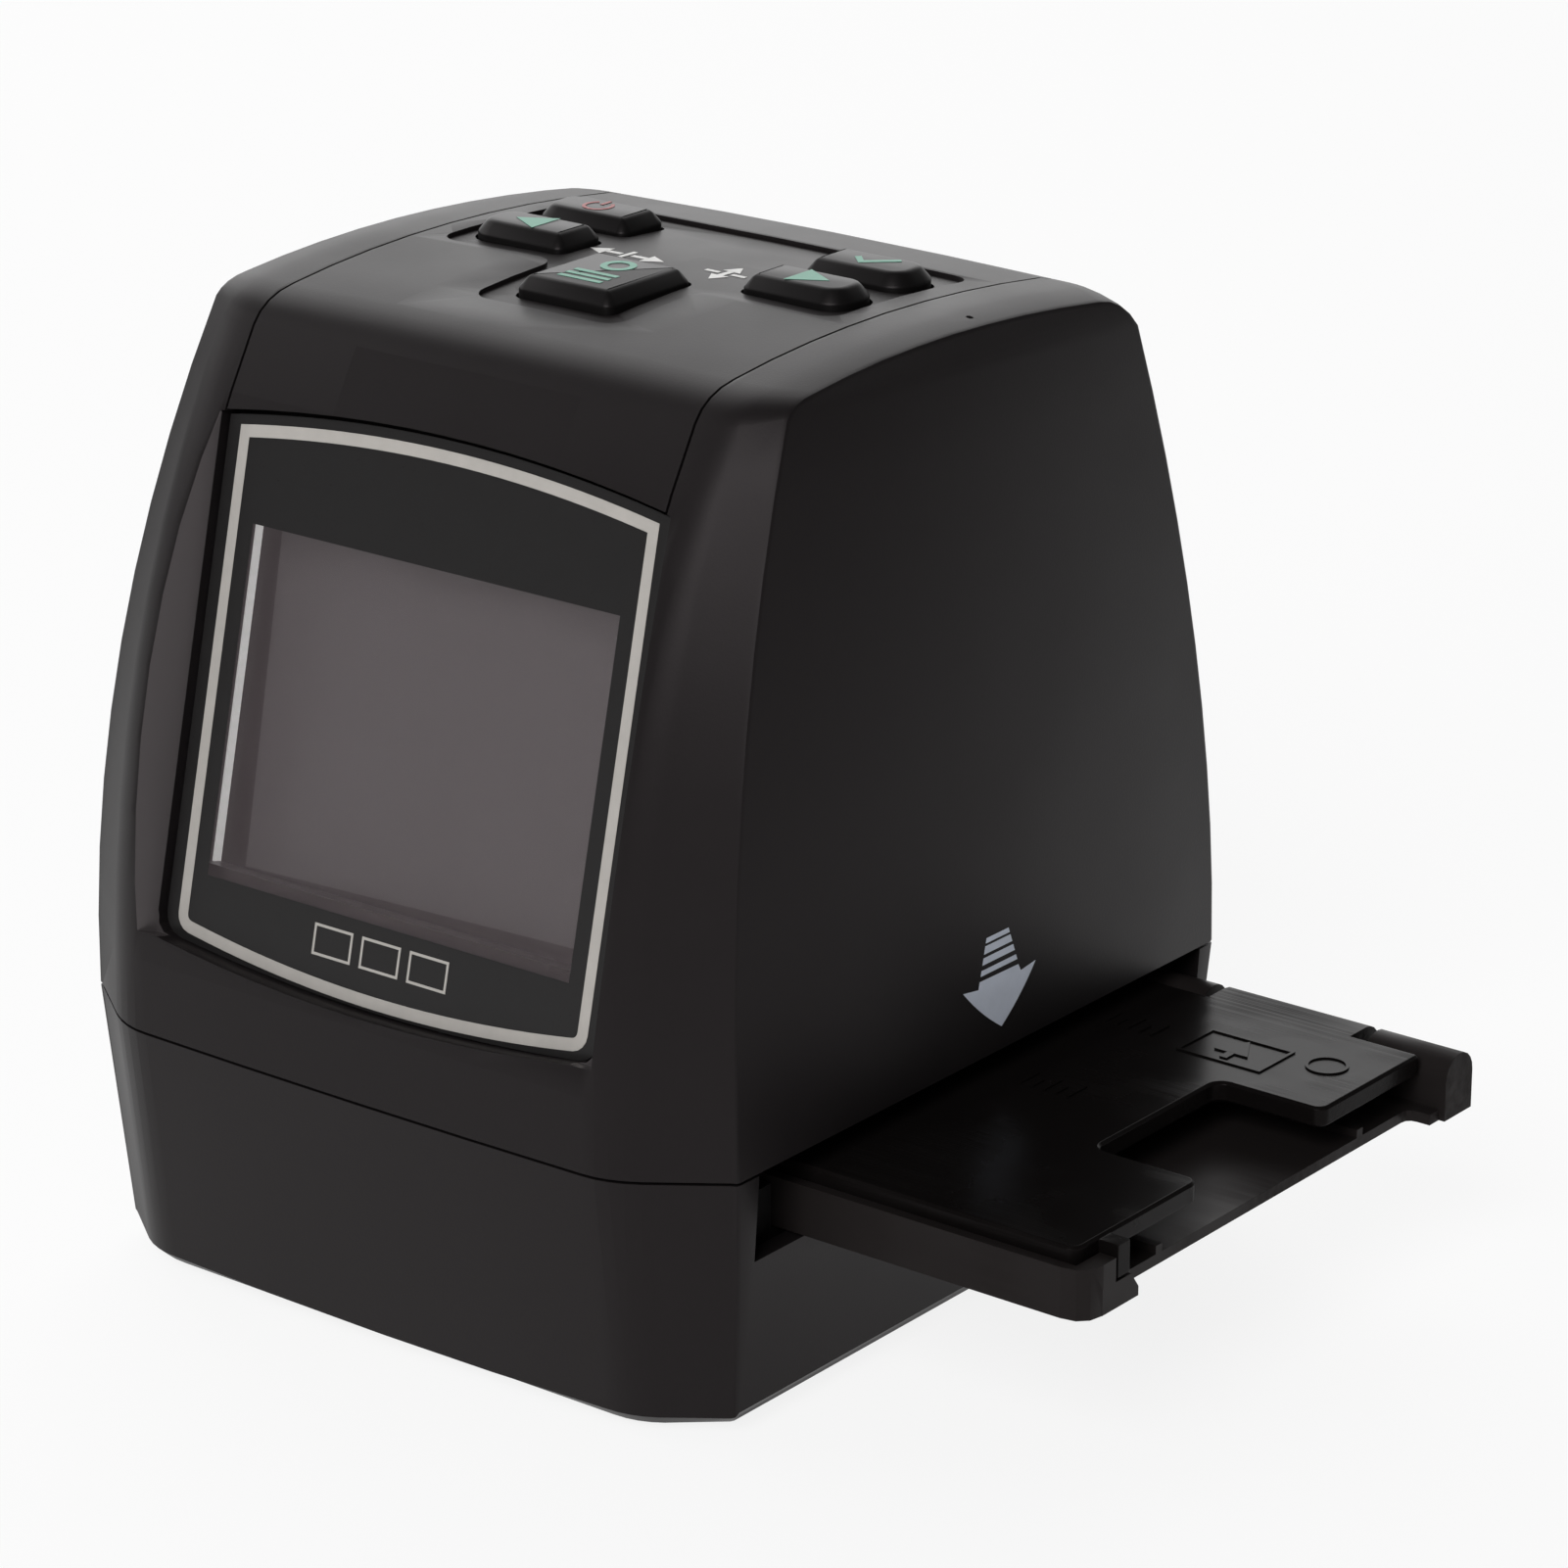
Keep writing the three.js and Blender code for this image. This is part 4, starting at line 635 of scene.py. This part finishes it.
def coat_with_ink(name, shape, body, paint, outward):
    """Turns a laid print's faces outwards and gives it the thickness of ink."""
    for face in shape.faces:
        face.normal_update()
        if face.normal.dot(outward) < 0:
            face.normal_flip()
    mesh = bpy.data.meshes.new(name)
    shape.to_mesh(mesh)
    shape.free()
    piece = link_piece(name, mesh, body, paint)
    coat = piece.modifiers.new("ink_coat", "SOLIDIFY")
    coat.thickness = PRINT_THICKNESS * MM
    coat.offset = 1
    return piece


def print_sign(name, shape, body, paint, faces, middle, ceiling):
    """Drops a flat sign onto the top below it and prints it there."""
    bmesh.ops.remove_doubles(shape, verts=shape.verts, dist=FINE_SLACK)
    bmesh.ops.recalc_face_normals(shape, faces=shape.faces)
    for point in shape.verts:
        above = spot(middle[0] + point.co.x, middle[1] + point.co.y, ceiling)
        hit = faces.ray_cast(above, Vector((0, 0, -1)))[0]
        point.co = hit + Vector((0, 0, PRINT_LIFT * MM))
    return coat_with_ink(name, shape, body, paint, Vector((0, 0, 1)))


def key_sign(key, shape, paint):
    """Prints a sign on its key, so that it goes down with it."""
    faces = surface_of(key + "_key")
    print_sign(key + "_sign", shape, key + "_button", paint, faces, SIGN_PLACES[key], OVERHEAD)


def cover_sign(name, shape):
    """Prints a white sign between the keys."""
    faces = surface_of("top_cover")
    print_sign(name + "_sign", shape, "scanner", white_ink, faces, SIGN_PLACES[name], OVERHEAD)


green_ink = ink("green_ink", GREEN_INK)
red_ink = ink("red_ink", RED_INK)
white_ink = ink("white_ink", WHITE_INK)

sign = bmesh.new()
ring(sign, (0, 0), POWER_RING, POWER_LINE, start=POWER_ARC[0], end=POWER_ARC[1])
stroke(sign, (0, POWER_BAR[0]), (0, POWER_BAR[1]), POWER_LINE)
key_sign("power", sign, red_ink)

for key, turn in (("left", 90), ("right", -90)):
    sign = bmesh.new()
    wedge(sign, (0, 0), TRIANGLE, turn)
    key_sign(key, sign, green_ink)

sign = bmesh.new()
ring(sign, (0, SCAN_RING_UP), SCAN_RING, SCAN_RING_LINE)
for row in SCAN_ROWS:
    stroke(sign, (-SCAN_ROW_HALF, row), (SCAN_ROW_HALF, row), SIGN_LINE)
key_sign("scan", sign, green_ink)

sign = bmesh.new()
sign.faces.new([sign.verts.new((x, y, 0)) for x, y in TICK])
key_sign("ok", sign, green_ink)

sign = bmesh.new()
for side in (-1, 1):
    stroke(sign, (side * MIRROR_RUN[0], 0), (side * MIRROR_RUN[1], 0), SIGN_LINE)
    wedge(sign, (side * MIRROR_TIP, 0), MIRROR_TIP_SIZE, -90 * side)
stroke(sign, (0, -MIRROR_BAR), (0, MIRROR_BAR), THIN_LINE)
cover_sign("mirror", sign)

sign = bmesh.new()
for side in (-1, 1):
    stroke(sign, (side * FLIP_RUN[0], 0), (side * FLIP_RUN[1], 0), THIN_LINE)
    wedge(sign, (0, side * FLIP_TIP), FLIP_TIP_SIZE, 90 - 90 * side)
stroke(sign, (0, -FLIP_BAR), (0, FLIP_BAR), SIGN_LINE)
cover_sign("flip", sign)


# The screen: a clear acrylic panel with a black surround and a silver line printed on its face,
# laid in the housing's recess. Sizes are taken on the panel, which leans back.
PRINT_RISE = 0.02
PRINT_COAT = 0.02
SILVER_RISE = 0.06
PANEL_HALF = 29.1
PANEL_TOP = 27.1
PANEL_TOP_BOW = 2.45
PANEL_BOTTOM_BOW = 1.9
PANEL_CORNER = 2.2
PANEL_CORNER_STEPS = 4
PANEL_EDGE = 0.12
WINDOW_HALF = 24.25
WINDOW_LOW = -20.15
WINDOW_HIGH = 16.6
LINE_HALF = 27.5
LINE_TOP = 26.3
LINE_TOP_BOW = 2.2
LINE_LOW = -26.4
LINE_LOW_BOW = 2.3
LINE_CORNER = 1.6
LINE_WIDTH = 1.3
PRINT_BLACK = (0.0165, 0.0155, 0.0156, 1)
PRINT_SILVER = (0.50, 0.475, 0.445, 1)
SHEET_COLUMNS = 24
SIDE_COLUMNS = 2
WINDOW_ROWS = 3
OUTER_ROW = 0.9
CLEAR_GRAIN = 900.0
ACRYLIC_BEND = 1.15
ACRYLIC_DARK = (0.97, 0.97, 0.97, 1)
ACRYLIC_PALE = (0.99, 0.99, 0.99, 1)


def bowed_sheet(half, top, top_bow, low, low_bow, corner, window=False):
    """A flat sheet whose top and bottom edges bow outwards, with a window where it is asked for."""
    sheet = bmesh.new()
    rows = WINDOW_ROWS if window else 1
    bmesh.ops.create_grid(sheet, x_segments=SHEET_COLUMNS, y_segments=rows, size=1)
    share = 1 - 2 * SIDE_COLUMNS / SHEET_COLUMNS
    for point in sheet.verts:
        across, up = point.co.x, point.co.y
        x = across * half
        if window:
            beside = max(abs(across) - share, 0) / (1 - share) * (half - WINDOW_HALF)
            x = min(abs(across), share) / share * WINDOW_HALF + beside
            x = x if across > 0 else -x
        rise = 1 - (x / half) ** 2
        inner = WINDOW_HIGH if up > 0 else WINDOW_LOW
        edge = top + top_bow * rise if up > 0 else low - low_bow * rise
        point.co = (x, edge if abs(up) > OUTER_ROW else inner, 0)
    if window:
        middles = {face: face.calc_center_median() for face in sheet.faces}
        hole = [
            face for face, middle in middles.items()
            if abs(middle.x) < WINDOW_HALF and WINDOW_LOW < middle.y < WINDOW_HIGH
        ]
        bmesh.ops.delete(sheet, geom=hole, context="FACES")
    ends = [
        point for point in sheet.verts
        if abs(abs(point.co.x) - half) < SLACK and abs(point.co.y - low) < SLACK
    ]
    bmesh.ops.bevel(
        sheet, geom=ends, offset=corner, affect="VERTICES",
        segments=PANEL_CORNER_STEPS, profile=0.5, material=-1,
    )
    return sheet


def lens_piece(name, shape, depth, thickness, paint):
    """Lays a flat shape on the screen's plane, a given depth from its face, as a thin coat."""
    bmesh.ops.translate(shape, vec=(0, 0, depth), verts=shape.verts)
    bmesh.ops.transform(shape, matrix=LENS_PLACE, verts=shape.verts)
    mesh = bpy.data.meshes.new(name)
    shape.to_mesh(mesh)
    shape.free()
    piece = link_piece(name, mesh, "scanner", paint)
    coat = piece.modifiers.new("coat", "SOLIDIFY")
    coat.thickness = thickness * MM
    coat.offset = -1


def clear_finish(name, dark, pale, rough, bend, patch_scale):
    """Clear acrylic or glass with a faint smear, given how much it bends light."""
    paint, shader, _, _ = drifting_finish(name, dark, pale, rough, CLEAR_GRAIN, patch_scale)
    shader.inputs["Transmission Weight"].default_value = 1.0
    shader.inputs["IOR"].default_value = bend
    return paint


lens_paint = clear_finish(
    "clear_acrylic", ACRYLIC_DARK, ACRYLIC_PALE,
    rough=(0.015, 0.06), bend=ACRYLIC_BEND, patch_scale=60.0,
)
finished_moulding("screen_lens", "scanner", lens_paint, PANEL_EDGE)

black_print = ink("black_print", PRINT_BLACK, rough=0.3)
silver_print = ink("silver_print", PRINT_SILVER, rough=0.4)
line = bowed_sheet(LINE_HALF, LINE_TOP, LINE_TOP_BOW, LINE_LOW, LINE_LOW_BOW, LINE_CORNER)
rim = bmesh.ops.inset_region(
    line, faces=line.faces[:], thickness=LINE_WIDTH, use_even_offset=True, use_boundary=True
)["faces"]
bmesh.ops.delete(line, geom=[face for face in line.faces if face not in rim], context="FACES")
lens_piece("silver_line", line, SILVER_RISE, PRINT_COAT, silver_print)
surround = bowed_sheet(
    PANEL_HALF, PANEL_TOP, PANEL_TOP_BOW, -PANEL_TOP, PANEL_BOTTOM_BOW, PANEL_CORNER, window=True
)
lens_piece("black_surround", surround, PRINT_RISE, PRINT_COAT, black_print)


# The small marks under the window: a strip of three film frames, in the place of the photograph's
# print. They are silver ink on the panel's face, printed together with the silver line.
FILM_RISE = -23.3
FILM_HALF = 2.6
FILM_GAP = 6.4
FILM_LINE = 0.28
FILM_TALL = 1.5
strip = bmesh.new()
for middle in (-FILM_GAP, 0, FILM_GAP):
    for side in (-1, 1):
        level = side * FILM_TALL
        upright = middle + side * (FILM_HALF - FILM_LINE / 2)
        reach = FILM_TALL - FILM_LINE / 2
        stroke(strip, (middle - FILM_HALF, level), (middle + FILM_HALF, level), FILM_LINE)
        stroke(strip, (upright, -reach), (upright, reach), FILM_LINE)
bmesh.ops.translate(strip, vec=(0, FILM_RISE, 0), verts=strip.verts)
lens_piece("film_marks", strip, SILVER_RISE, PRINT_COAT, silver_print)


# The display behind the window: a grey glass module in a grey plastic frame, screwed behind the
# opening. Its live area is a little lighter than its edges and shows no picture. Glass and frame
# both carry a faint painted glow, which stands in for the light that the recess shades off them
# and keeps their grey even.
DISPLAY_DEPTH = -5.97
LIVE_COAT = 0.02
LIVE_AREA = ((-25.2, 17.5), (-24.2, -19.56), (25.0, -17.95), (25.0, 17.5))
EDGE_GREY = (0.040, 0.0335, 0.035, 1)
LIVE_GREY = (0.060, 0.0525, 0.0545, 1)
SCREEN_SHEEN = 0.25
SCREEN_DARKEST = 0.94
SCREEN_GLOSS_DRIFT = 0.08
SCREEN_PAINTED_GLOW = 1.0


def display_glass(name, colour, rough, glow=0.0):
    """Display glass: a grey with a faint drift, a soft gloss and a painted glow if given one."""
    dark = [SCREEN_DARKEST * part for part in colour[:3]] + [1]
    paint, shader, _, tone = drifting_finish(
        name, dark, colour, (rough, rough + SCREEN_GLOSS_DRIFT),
        grain_scale=9000.0, patch_scale=25.0,
    )
    shader.inputs["Specular IOR Level"].default_value = SCREEN_SHEEN
    # Painted light: the glass glows in its own grey, though it is no lamp.
    shader.inputs["Emission Strength"].default_value = glow
    join_up(paint.node_tree, (tone, "Result", shader, "Emission Color"))
    return paint


def paint_node(node, paint):
    """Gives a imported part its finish, with its shape kept."""
    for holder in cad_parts[node].material_slots:
        holder.material = paint


# Both the display and its frame get the painted glow that evens out the recess's shade.
edge_paint = display_glass("display_edge_glass", EDGE_GREY, rough=0.3, glow=SCREEN_PAINTED_GLOW)
live_paint = display_glass("live_glass", LIVE_GREY, rough=0.35, glow=SCREEN_PAINTED_GLOW)
for node in ("display_panel", "display_frame"):
    paint_node(node, edge_paint)
live = bmesh.new()
live.faces.new([live.verts.new((x, y, 0)) for x, y in LIVE_AREA])
bmesh.ops.recalc_face_normals(live, faces=live.faces)
lens_piece("live_area", live, DISPLAY_DEPTH, LIVE_COAT, live_paint)


# A painted highlight: the bright line at each side of the window is light caught on the edges of
# the display's frame, drawn here as thin white strips with a painted glow. They stand on the
# display against the walls of its frame.
HIGHLIGHT_PLAN = ((27.88, -20.3), (27.65, -20.3), (27.75, 17.7), (27.88, 17.7))
HIGHLIGHT_GLOW = 0.4
HIGHLIGHT_HEIGHT = 1.1
HIGHLIGHT_DIM = (0.74, 0.73, 0.72, 1)
HIGHLIGHT_WHITE = (0.86, 0.85, 0.84, 1)
highlight_paint = moulded_plastic(
    "painted_highlight_plastic", HIGHLIGHT_DIM, HIGHLIGHT_WHITE,
    sheen=0.5, rough=(0.25, 0.35), grain_mm=0.4, depth_mm=0.002,
)
highlight_shader = highlight_paint.node_tree.nodes["Principled BSDF"]
# Painted light: the strips glow white, though they are no lamp.
highlight_shader.inputs["Emission Color"].default_value = HIGHLIGHT_WHITE
highlight_shader.inputs["Emission Strength"].default_value = HIGHLIGHT_GLOW
highlight_strip = bmesh.new()
for side in (-1, 1):
    highlight_strip.faces.new([highlight_strip.verts.new((side * x, y, 0)) for x, y in HIGHLIGHT_PLAN])
bmesh.ops.recalc_face_normals(highlight_strip, faces=highlight_strip.faces)
highlight_top = DISPLAY_DEPTH + LIVE_COAT + HIGHLIGHT_HEIGHT
lens_piece("painted_highlight_strip", highlight_strip, highlight_top, HIGHLIGHT_HEIGHT, highlight_paint)


# The arrow on the right side shows which way the adapter goes in: a bowed head over a tail of
# four bars. It is pad-printed in pale grey-blue ink, low on the upper half of the housing.
ARROW_INK = (0.72, 0.77, 0.88, 1)
ARROW_HEAD = (
    (2.4, 31.5), (8.4, 36.9), (5.8, 36.6), (5.4, 37.4),
    (-1.3, 37.5), (-1.55, 36.7), (-4.2, 37.1),
)
ARROW_BOW = 0.28
ARROW_CUTS = 6
TAIL_LOW = (-1.3, 5.4, 37.5)
TAIL_HIGH = (0.0, 3.8, 41.9)
TAIL_BARS = ((0.12, 0.25), (0.375, 0.54), (0.627, 0.814), (0.88, 1.0))
SIDE_REACH = 60
SIDE_CUTS = 2


def side_print(name, shape, paint):
    """Lays a flat shape, drawn as depth and height, on the housing's right side."""
    bmesh.ops.recalc_face_normals(shape, faces=shape.faces)
    bmesh.ops.triangulate(shape, faces=shape.faces)
    bmesh.ops.subdivide_edges(shape, edges=shape.edges, cuts=SIDE_CUTS, use_grid_fill=True)
    faces = surface_of("upper_housing", "base_housing")
    for point in shape.verts:
        beside = spot(SIDE_REACH, point.co.x, point.co.y)
        hit = faces.ray_cast(beside, Vector((-1, 0, 0)))[0]
        point.co = hit + Vector((PRINT_LIFT * MM, 0, 0))
    coat_with_ink(name, shape, "scanner", paint, Vector((1, 0, 0)))


arrow = bmesh.new()
head = arrow.faces.new([arrow.verts.new((y, z, 0)) for y, z in ARROW_HEAD])
long_edges = [edge for edge in arrow.edges if head.verts[0] in edge.verts]
bmesh.ops.subdivide_edges(arrow, edges=long_edges, cuts=ARROW_CUTS)
for side, barb in ((1, ARROW_HEAD[1]), (-1, ARROW_HEAD[-1])):
    start, end = Vector((*ARROW_HEAD[0], 0)), Vector((*barb, 0))
    run = end - start
    outward = Vector((run.y, -run.x, 0)).normalized() * side
    for point in arrow.verts:
        along = (point.co - start).dot(run) / run.length_squared
        if 0 < along < 1 and (point.co - start - run * along).length < FINE_SLACK:
            # A parabola: nothing at both ends and the full bow halfway.
            point.co += outward * ARROW_BOW * 4 * along * (1 - along)
for low, high in TAIL_BARS:
    ends = []
    for level, order in ((low, 1), (high, -1)):
        z = TAIL_LOW[2] + (TAIL_HIGH[2] - TAIL_LOW[2]) * level
        row = [TAIL_LOW[i] + (TAIL_HIGH[i] - TAIL_LOW[i]) * level for i in (0, 1)]
        ends += [(y, z, 0) for y in row[::order]]
    arrow.faces.new([arrow.verts.new(end) for end in ends])
side_print("way_in_arrow", arrow, ink("arrow_ink", ARROW_INK, rough=0.5))


# The film adapter: a tray with rails and hinge knuckles, and a cover plate on two steel pins.
# Both are moulded in glossier black than the housing, drawn with fine streaks along their length.
TRAY_EDGE = 0.25
TRAY_DARK = (0.0125, 0.0106, 0.0103, 1)
TRAY_PALE = (0.0155, 0.0131, 0.0127, 1)
COVER_DARK = (0.0045, 0.0038, 0.0037, 1)
COVER_PALE = (0.0065, 0.0055, 0.0053, 1)
STREAK_ALONG = 14.0
STREAK_ACROSS = 900.0
STREAK_DULLING = 0.5

streak_group, given, result = new_group(
    "drawn_streaks",
    {"Along": STREAK_ALONG, "Across": STREAK_ACROSS},
    ("Height",),
)
place = add_node(streak_group, "ShaderNodeTexCoord")
stretch = add_node(streak_group, "ShaderNodeCombineXYZ")
scaled = add_node(streak_group, "ShaderNodeVectorMath", operation="MULTIPLY")
lines = add_node(streak_group, "ShaderNodeTexNoise", Scale=1.0, Detail=3.0, Roughness=0.65)
patches = add_node(streak_group, "ShaderNodeTexNoise", Scale=55.0, Detail=2.0)
band = add_node(streak_group, "ShaderNodeMapRange", From_Min=0.42, From_Max=0.62)
drawn = add_node(streak_group, "ShaderNodeMath", operation="MULTIPLY")
join_up(
    streak_group,
    (given, "Along", stretch, "X"),
    (given, "Across", stretch, "Y"),
    (given, "Across", stretch, "Z"),
    (place, "Object", scaled, 0),
    (stretch, 0, scaled, 1),
    (scaled, 0, lines, "Vector"),
    (place, "Object", patches, "Vector"),
    (patches, "Fac", band, "Value"),
    (lines, "Fac", drawn, 0),
    (band, 0, drawn, 1),
    (drawn, 0, result, "Height"),
)


def drawn_plastic(name, dark, pale, sheen, rough, depth_mm):
    """Moulded plastic with fine streaks along the adapter where the tool was polished."""
    paint = moulded_plastic(
        name, dark, pale, sheen, rough, grain_mm=0.12, depth_mm=0.002, dust=0.04
    )
    tree = paint.node_tree
    shader = tree.nodes["Principled BSDF"]
    grained = shader.inputs["Normal"].links[0].from_node
    glossy = shader.inputs["Roughness"].links[0].from_node
    streaks = use_group(tree, streak_group)
    relief = add_node(tree, "ShaderNodeBump", Strength=1.0, Distance=depth_mm * MM)
    dulled = add_node(tree, "ShaderNodeMath", operation="MULTIPLY_ADD")
    dulled.inputs[1].default_value = STREAK_DULLING
    join_up(
        tree,
        (grained, "Normal", relief, "Normal"),
        (streaks, "Height", relief, "Height"),
        (relief, "Normal", shader, "Normal"),
        (streaks, "Height", dulled, 0),
        (glossy, "Result", dulled, 2),
        (dulled, 0, shader, "Roughness"),
    )
    return paint


tray_paint = drawn_plastic(
    "adapter_plastic", TRAY_DARK, TRAY_PALE, sheen=0.09, rough=(0.28, 0.38), depth_mm=0.03
)
cover_paint = drawn_plastic(
    "adapter_cover_plastic", COVER_DARK, COVER_PALE, sheen=0.05, rough=(0.18, 0.26), depth_mm=0.16
)
finished_moulding("adapter_base", "adapter", tray_paint, TRAY_EDGE)
finished_moulding("adapter_cover", "adapter_lid", cover_paint, TRAY_EDGE)


# The raised marks on the adapter's cover: a framed arrow that says which side goes up, a ring for
# the far end, and plain strokes for its two sizes. They are moulded with the cover.
MARK_HEIGHT = 0.16
MARK_LINE = 0.34
MARK_PLACES = {
    "up_mark": (59.3, 21.9), "end_mark": (69.0, 24.4),
    "size_mark_1": (46.9, 21.6), "size_mark_2": (49.6, 2.7),
}
FRAME_HALF = 5.2
FRAME_TALL = 3.2
UP_STEM = (-2.4, -0.8)
UP_STEM_LINE = 0.9
UP_TIP = 0.3
UP_TIP_SIZE = 2.4
END_RING = 2.3
SIZE_STEP = 1.5
SIZE_TALL = 1.6
SIZE_SHORT = 0.4
COVER_CEILING = 60


def raised_mark(name, shape):
    """Stands a flat mark on the cover as a low moulded ridge."""
    faces = surface_of("adapter_cover")
    piece = print_sign(
        name, shape, "adapter_lid", cover_paint, faces, MARK_PLACES[name], COVER_CEILING
    )
    piece.modifiers["ink_coat"].thickness = MARK_HEIGHT * MM


mark = bmesh.new()
for side in (-1, 1):
    level = side * FRAME_TALL
    upright = side * (FRAME_HALF - MARK_LINE / 2)
    reach = FRAME_TALL - MARK_LINE / 2
    stroke(mark, (-FRAME_HALF, level), (FRAME_HALF, level), MARK_LINE)
    stroke(mark, (upright, -reach), (upright, reach), MARK_LINE)
stroke(mark, (0, UP_STEM[0]), (0, UP_STEM[1]), UP_STEM_LINE)
wedge(mark, (0, UP_TIP), UP_TIP_SIZE, 0)
raised_mark("up_mark", mark)

mark = bmesh.new()
ring(mark, (0, 0), END_RING, MARK_LINE)
raised_mark("end_mark", mark)

for name in ("size_mark_1", "size_mark_2"):
    mark = bmesh.new()
    for step in (-2, -1, 0, 1, 2):
        top = SIZE_TALL if step % 2 == 0 else SIZE_SHORT
        stroke(mark, (step * SIZE_STEP, -SIZE_TALL), (step * SIZE_STEP, top), MARK_LINE)
    raised_mark(name, mark)


# Steel: the screws, the hinge pins and the metal shells of the card slot and the USB inlet. They
# are bright and finely drawn; the screws are driven home and the pins pressed into the tray.
STEEL_DARK = (0.40, 0.40, 0.41, 1)
STEEL = (0.55, 0.55, 0.56, 1)
STEEL_ROUGH = (0.25, 0.40)
STEEL_RELIEF = 0.003
steel_paint, shader, grain, _ = drifting_finish(
    "bright_steel", STEEL_DARK, STEEL, STEEL_ROUGH, grain_scale=7000.0, patch_scale=300.0
)
shader.inputs["Metallic"].default_value = 1.0
tree = steel_paint.node_tree
relief = add_node(tree, "ShaderNodeBump", Strength=1.0, Distance=STEEL_RELIEF * MM)
join_up(
    tree,
    (grain, "Height", relief, "Height"),
    (relief, "Normal", shader, "Normal"),
)
steel_nodes = [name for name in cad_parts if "screw" in name or "pin" in name]
for node in [*steel_nodes, "usb_port", "card_slot"]:
    paint_node(node, steel_paint)


# The four feet under the base: round pads of dull black rubber, a little dusty. They are glued
# into their seats.
RUBBER_DARK = (0.006, 0.006, 0.006, 1)
RUBBER_PALE = (0.016, 0.015, 0.015, 1)
rubber_paint = moulded_plastic(
    "foot_rubber", RUBBER_DARK, RUBBER_PALE,
    sheen=0.3, rough=(0.75, 0.9), grain_mm=0.4, depth_mm=0.02, dust=0.3,
)
for number in (1, 2, 3, 4):
    paint_node(f"foot_{number}", rubber_paint)


# The plain mouldings inside: the adapter's deck, the tower and barrel of the optics and the round
# socket. They are dull black plastic, which keeps stray light down.
DULL_DARK = (0.0055, 0.0054, 0.0055, 1)
DULL_PALE = (0.0100, 0.0098, 0.0098, 1)
dull_paint = moulded_plastic(
    "dull_black_plastic", DULL_DARK, DULL_PALE,
    sheen=0.2, rough=(0.55, 0.7), grain_mm=0.35, depth_mm=0.02,
)
for node in ("adapter_deck", "optic_tower", "lens_barrel", "av_jack"):
    paint_node(node, dull_paint)


# The light unit under the film: a white moulded box with a milky diffuser laid in its top and
# four lamps of yellowish resin on the board at its bottom.
WHITE_DARK = (0.70, 0.69, 0.66, 1)
WHITE_PALE = (0.83, 0.82, 0.79, 1)
OPAL_DARK = (0.80, 0.80, 0.78, 1)
OPAL_PALE = (0.88, 0.88, 0.86, 1)
LAMP_DARK = (0.78, 0.70, 0.38, 1)
LAMP_PALE = (0.88, 0.82, 0.52, 1)
white_paint = moulded_plastic(
    "white_plastic", WHITE_DARK, WHITE_PALE,
    sheen=0.4, rough=(0.45, 0.6), grain_mm=0.3, depth_mm=0.008,
)
opal_paint = moulded_plastic(
    "opal_plastic", OPAL_DARK, OPAL_PALE,
    sheen=0.5, rough=(0.25, 0.35), grain_mm=0.5, depth_mm=0.004,
)
lamp_paint = moulded_plastic(
    "lamp_resin", LAMP_DARK, LAMP_PALE,
    sheen=0.5, rough=(0.2, 0.3), grain_mm=0.5, depth_mm=0.004,
)
paint_node("light_box", white_paint)
paint_node("diffuser", opal_paint)
for number in (1, 2, 3, 4):
    paint_node(f"led_{number}", lamp_paint)


# The four boards: green solder mask over copper tracks, which show as slightly raised paler
# lines. Three are screwed down; the lamps' board lies in the bottom of the light unit's box.
MASK_GREEN = (0.010, 0.085, 0.030, 1)
TRACK_GREEN = (0.022, 0.150, 0.055, 1)
TRACK_RELIEF = 0.03
board_paint = bpy.data.materials.new("solder_mask")
board_paint.use_nodes = True
tree = board_paint.node_tree
shader = tree.nodes["Principled BSDF"]
place = add_node(tree, "ShaderNodeTexCoord")
tracks = add_node(tree, "ShaderNodeTexBrick", Scale=260.0, Mortar_Size=0.06, offset=0.37)
flat = add_node(tree, "ShaderNodeMapRange", To_Min=0.3, To_Max=0.45)
relief = add_node(tree, "ShaderNodeBump", Strength=1.0, Distance=TRACK_RELIEF * MM)
tone = add_node(tree, "ShaderNodeMix", data_type="RGBA")
tone.inputs["A"].default_value = MASK_GREEN
tone.inputs["B"].default_value = TRACK_GREEN
join_up(
    tree,
    (place, "Object", tracks, "Vector"),
    (tracks, "Fac", flat, "Value"),
    (flat, 0, shader, "Roughness"),
    (tracks, "Fac", relief, "Height"),
    (relief, 0, shader, "Normal"),
    (tracks, "Fac", tone, "Factor"),
    (tone, "Result", shader, "Base Color"),
)
for node in ("key_board", "led_board", "sensor_board", "main_board"):
    paint_node(node, board_paint)


# Small parts: grey push switches under the keys, the dark image sensor under its glass, and the
# coated lens in its barrel. The switches and the sensor are soldered to their boards.
SWITCH_DARK = (0.075, 0.076, 0.082, 1)
SWITCH_PALE = (0.10, 0.10, 0.108, 1)
SENSOR_GREY = (0.012, 0.016, 0.028, 1)
COATING_DARK = (0.80, 0.88, 0.98, 1)
COATING_PALE = (0.86, 0.84, 0.98, 1)
GLASS_BEND = 1.52
switch_paint = moulded_plastic(
    "switch_plastic", SWITCH_DARK, SWITCH_PALE,
    sheen=0.4, rough=(0.4, 0.5), grain_mm=0.2, depth_mm=0.004,
)
for key in ("power", "left", "scan", "right", "ok"):
    paint_node(key + "_switch", switch_paint)
paint_node("image_sensor", display_glass("sensor_glass", SENSOR_GREY, rough=0.12))
coated_paint = clear_finish(
    "coated_lens_glass", COATING_DARK, COATING_PALE,
    rough=(0.01, 0.04), bend=GLASS_BEND, patch_scale=200.0,
)
paint_node("lens_glass", coated_paint)
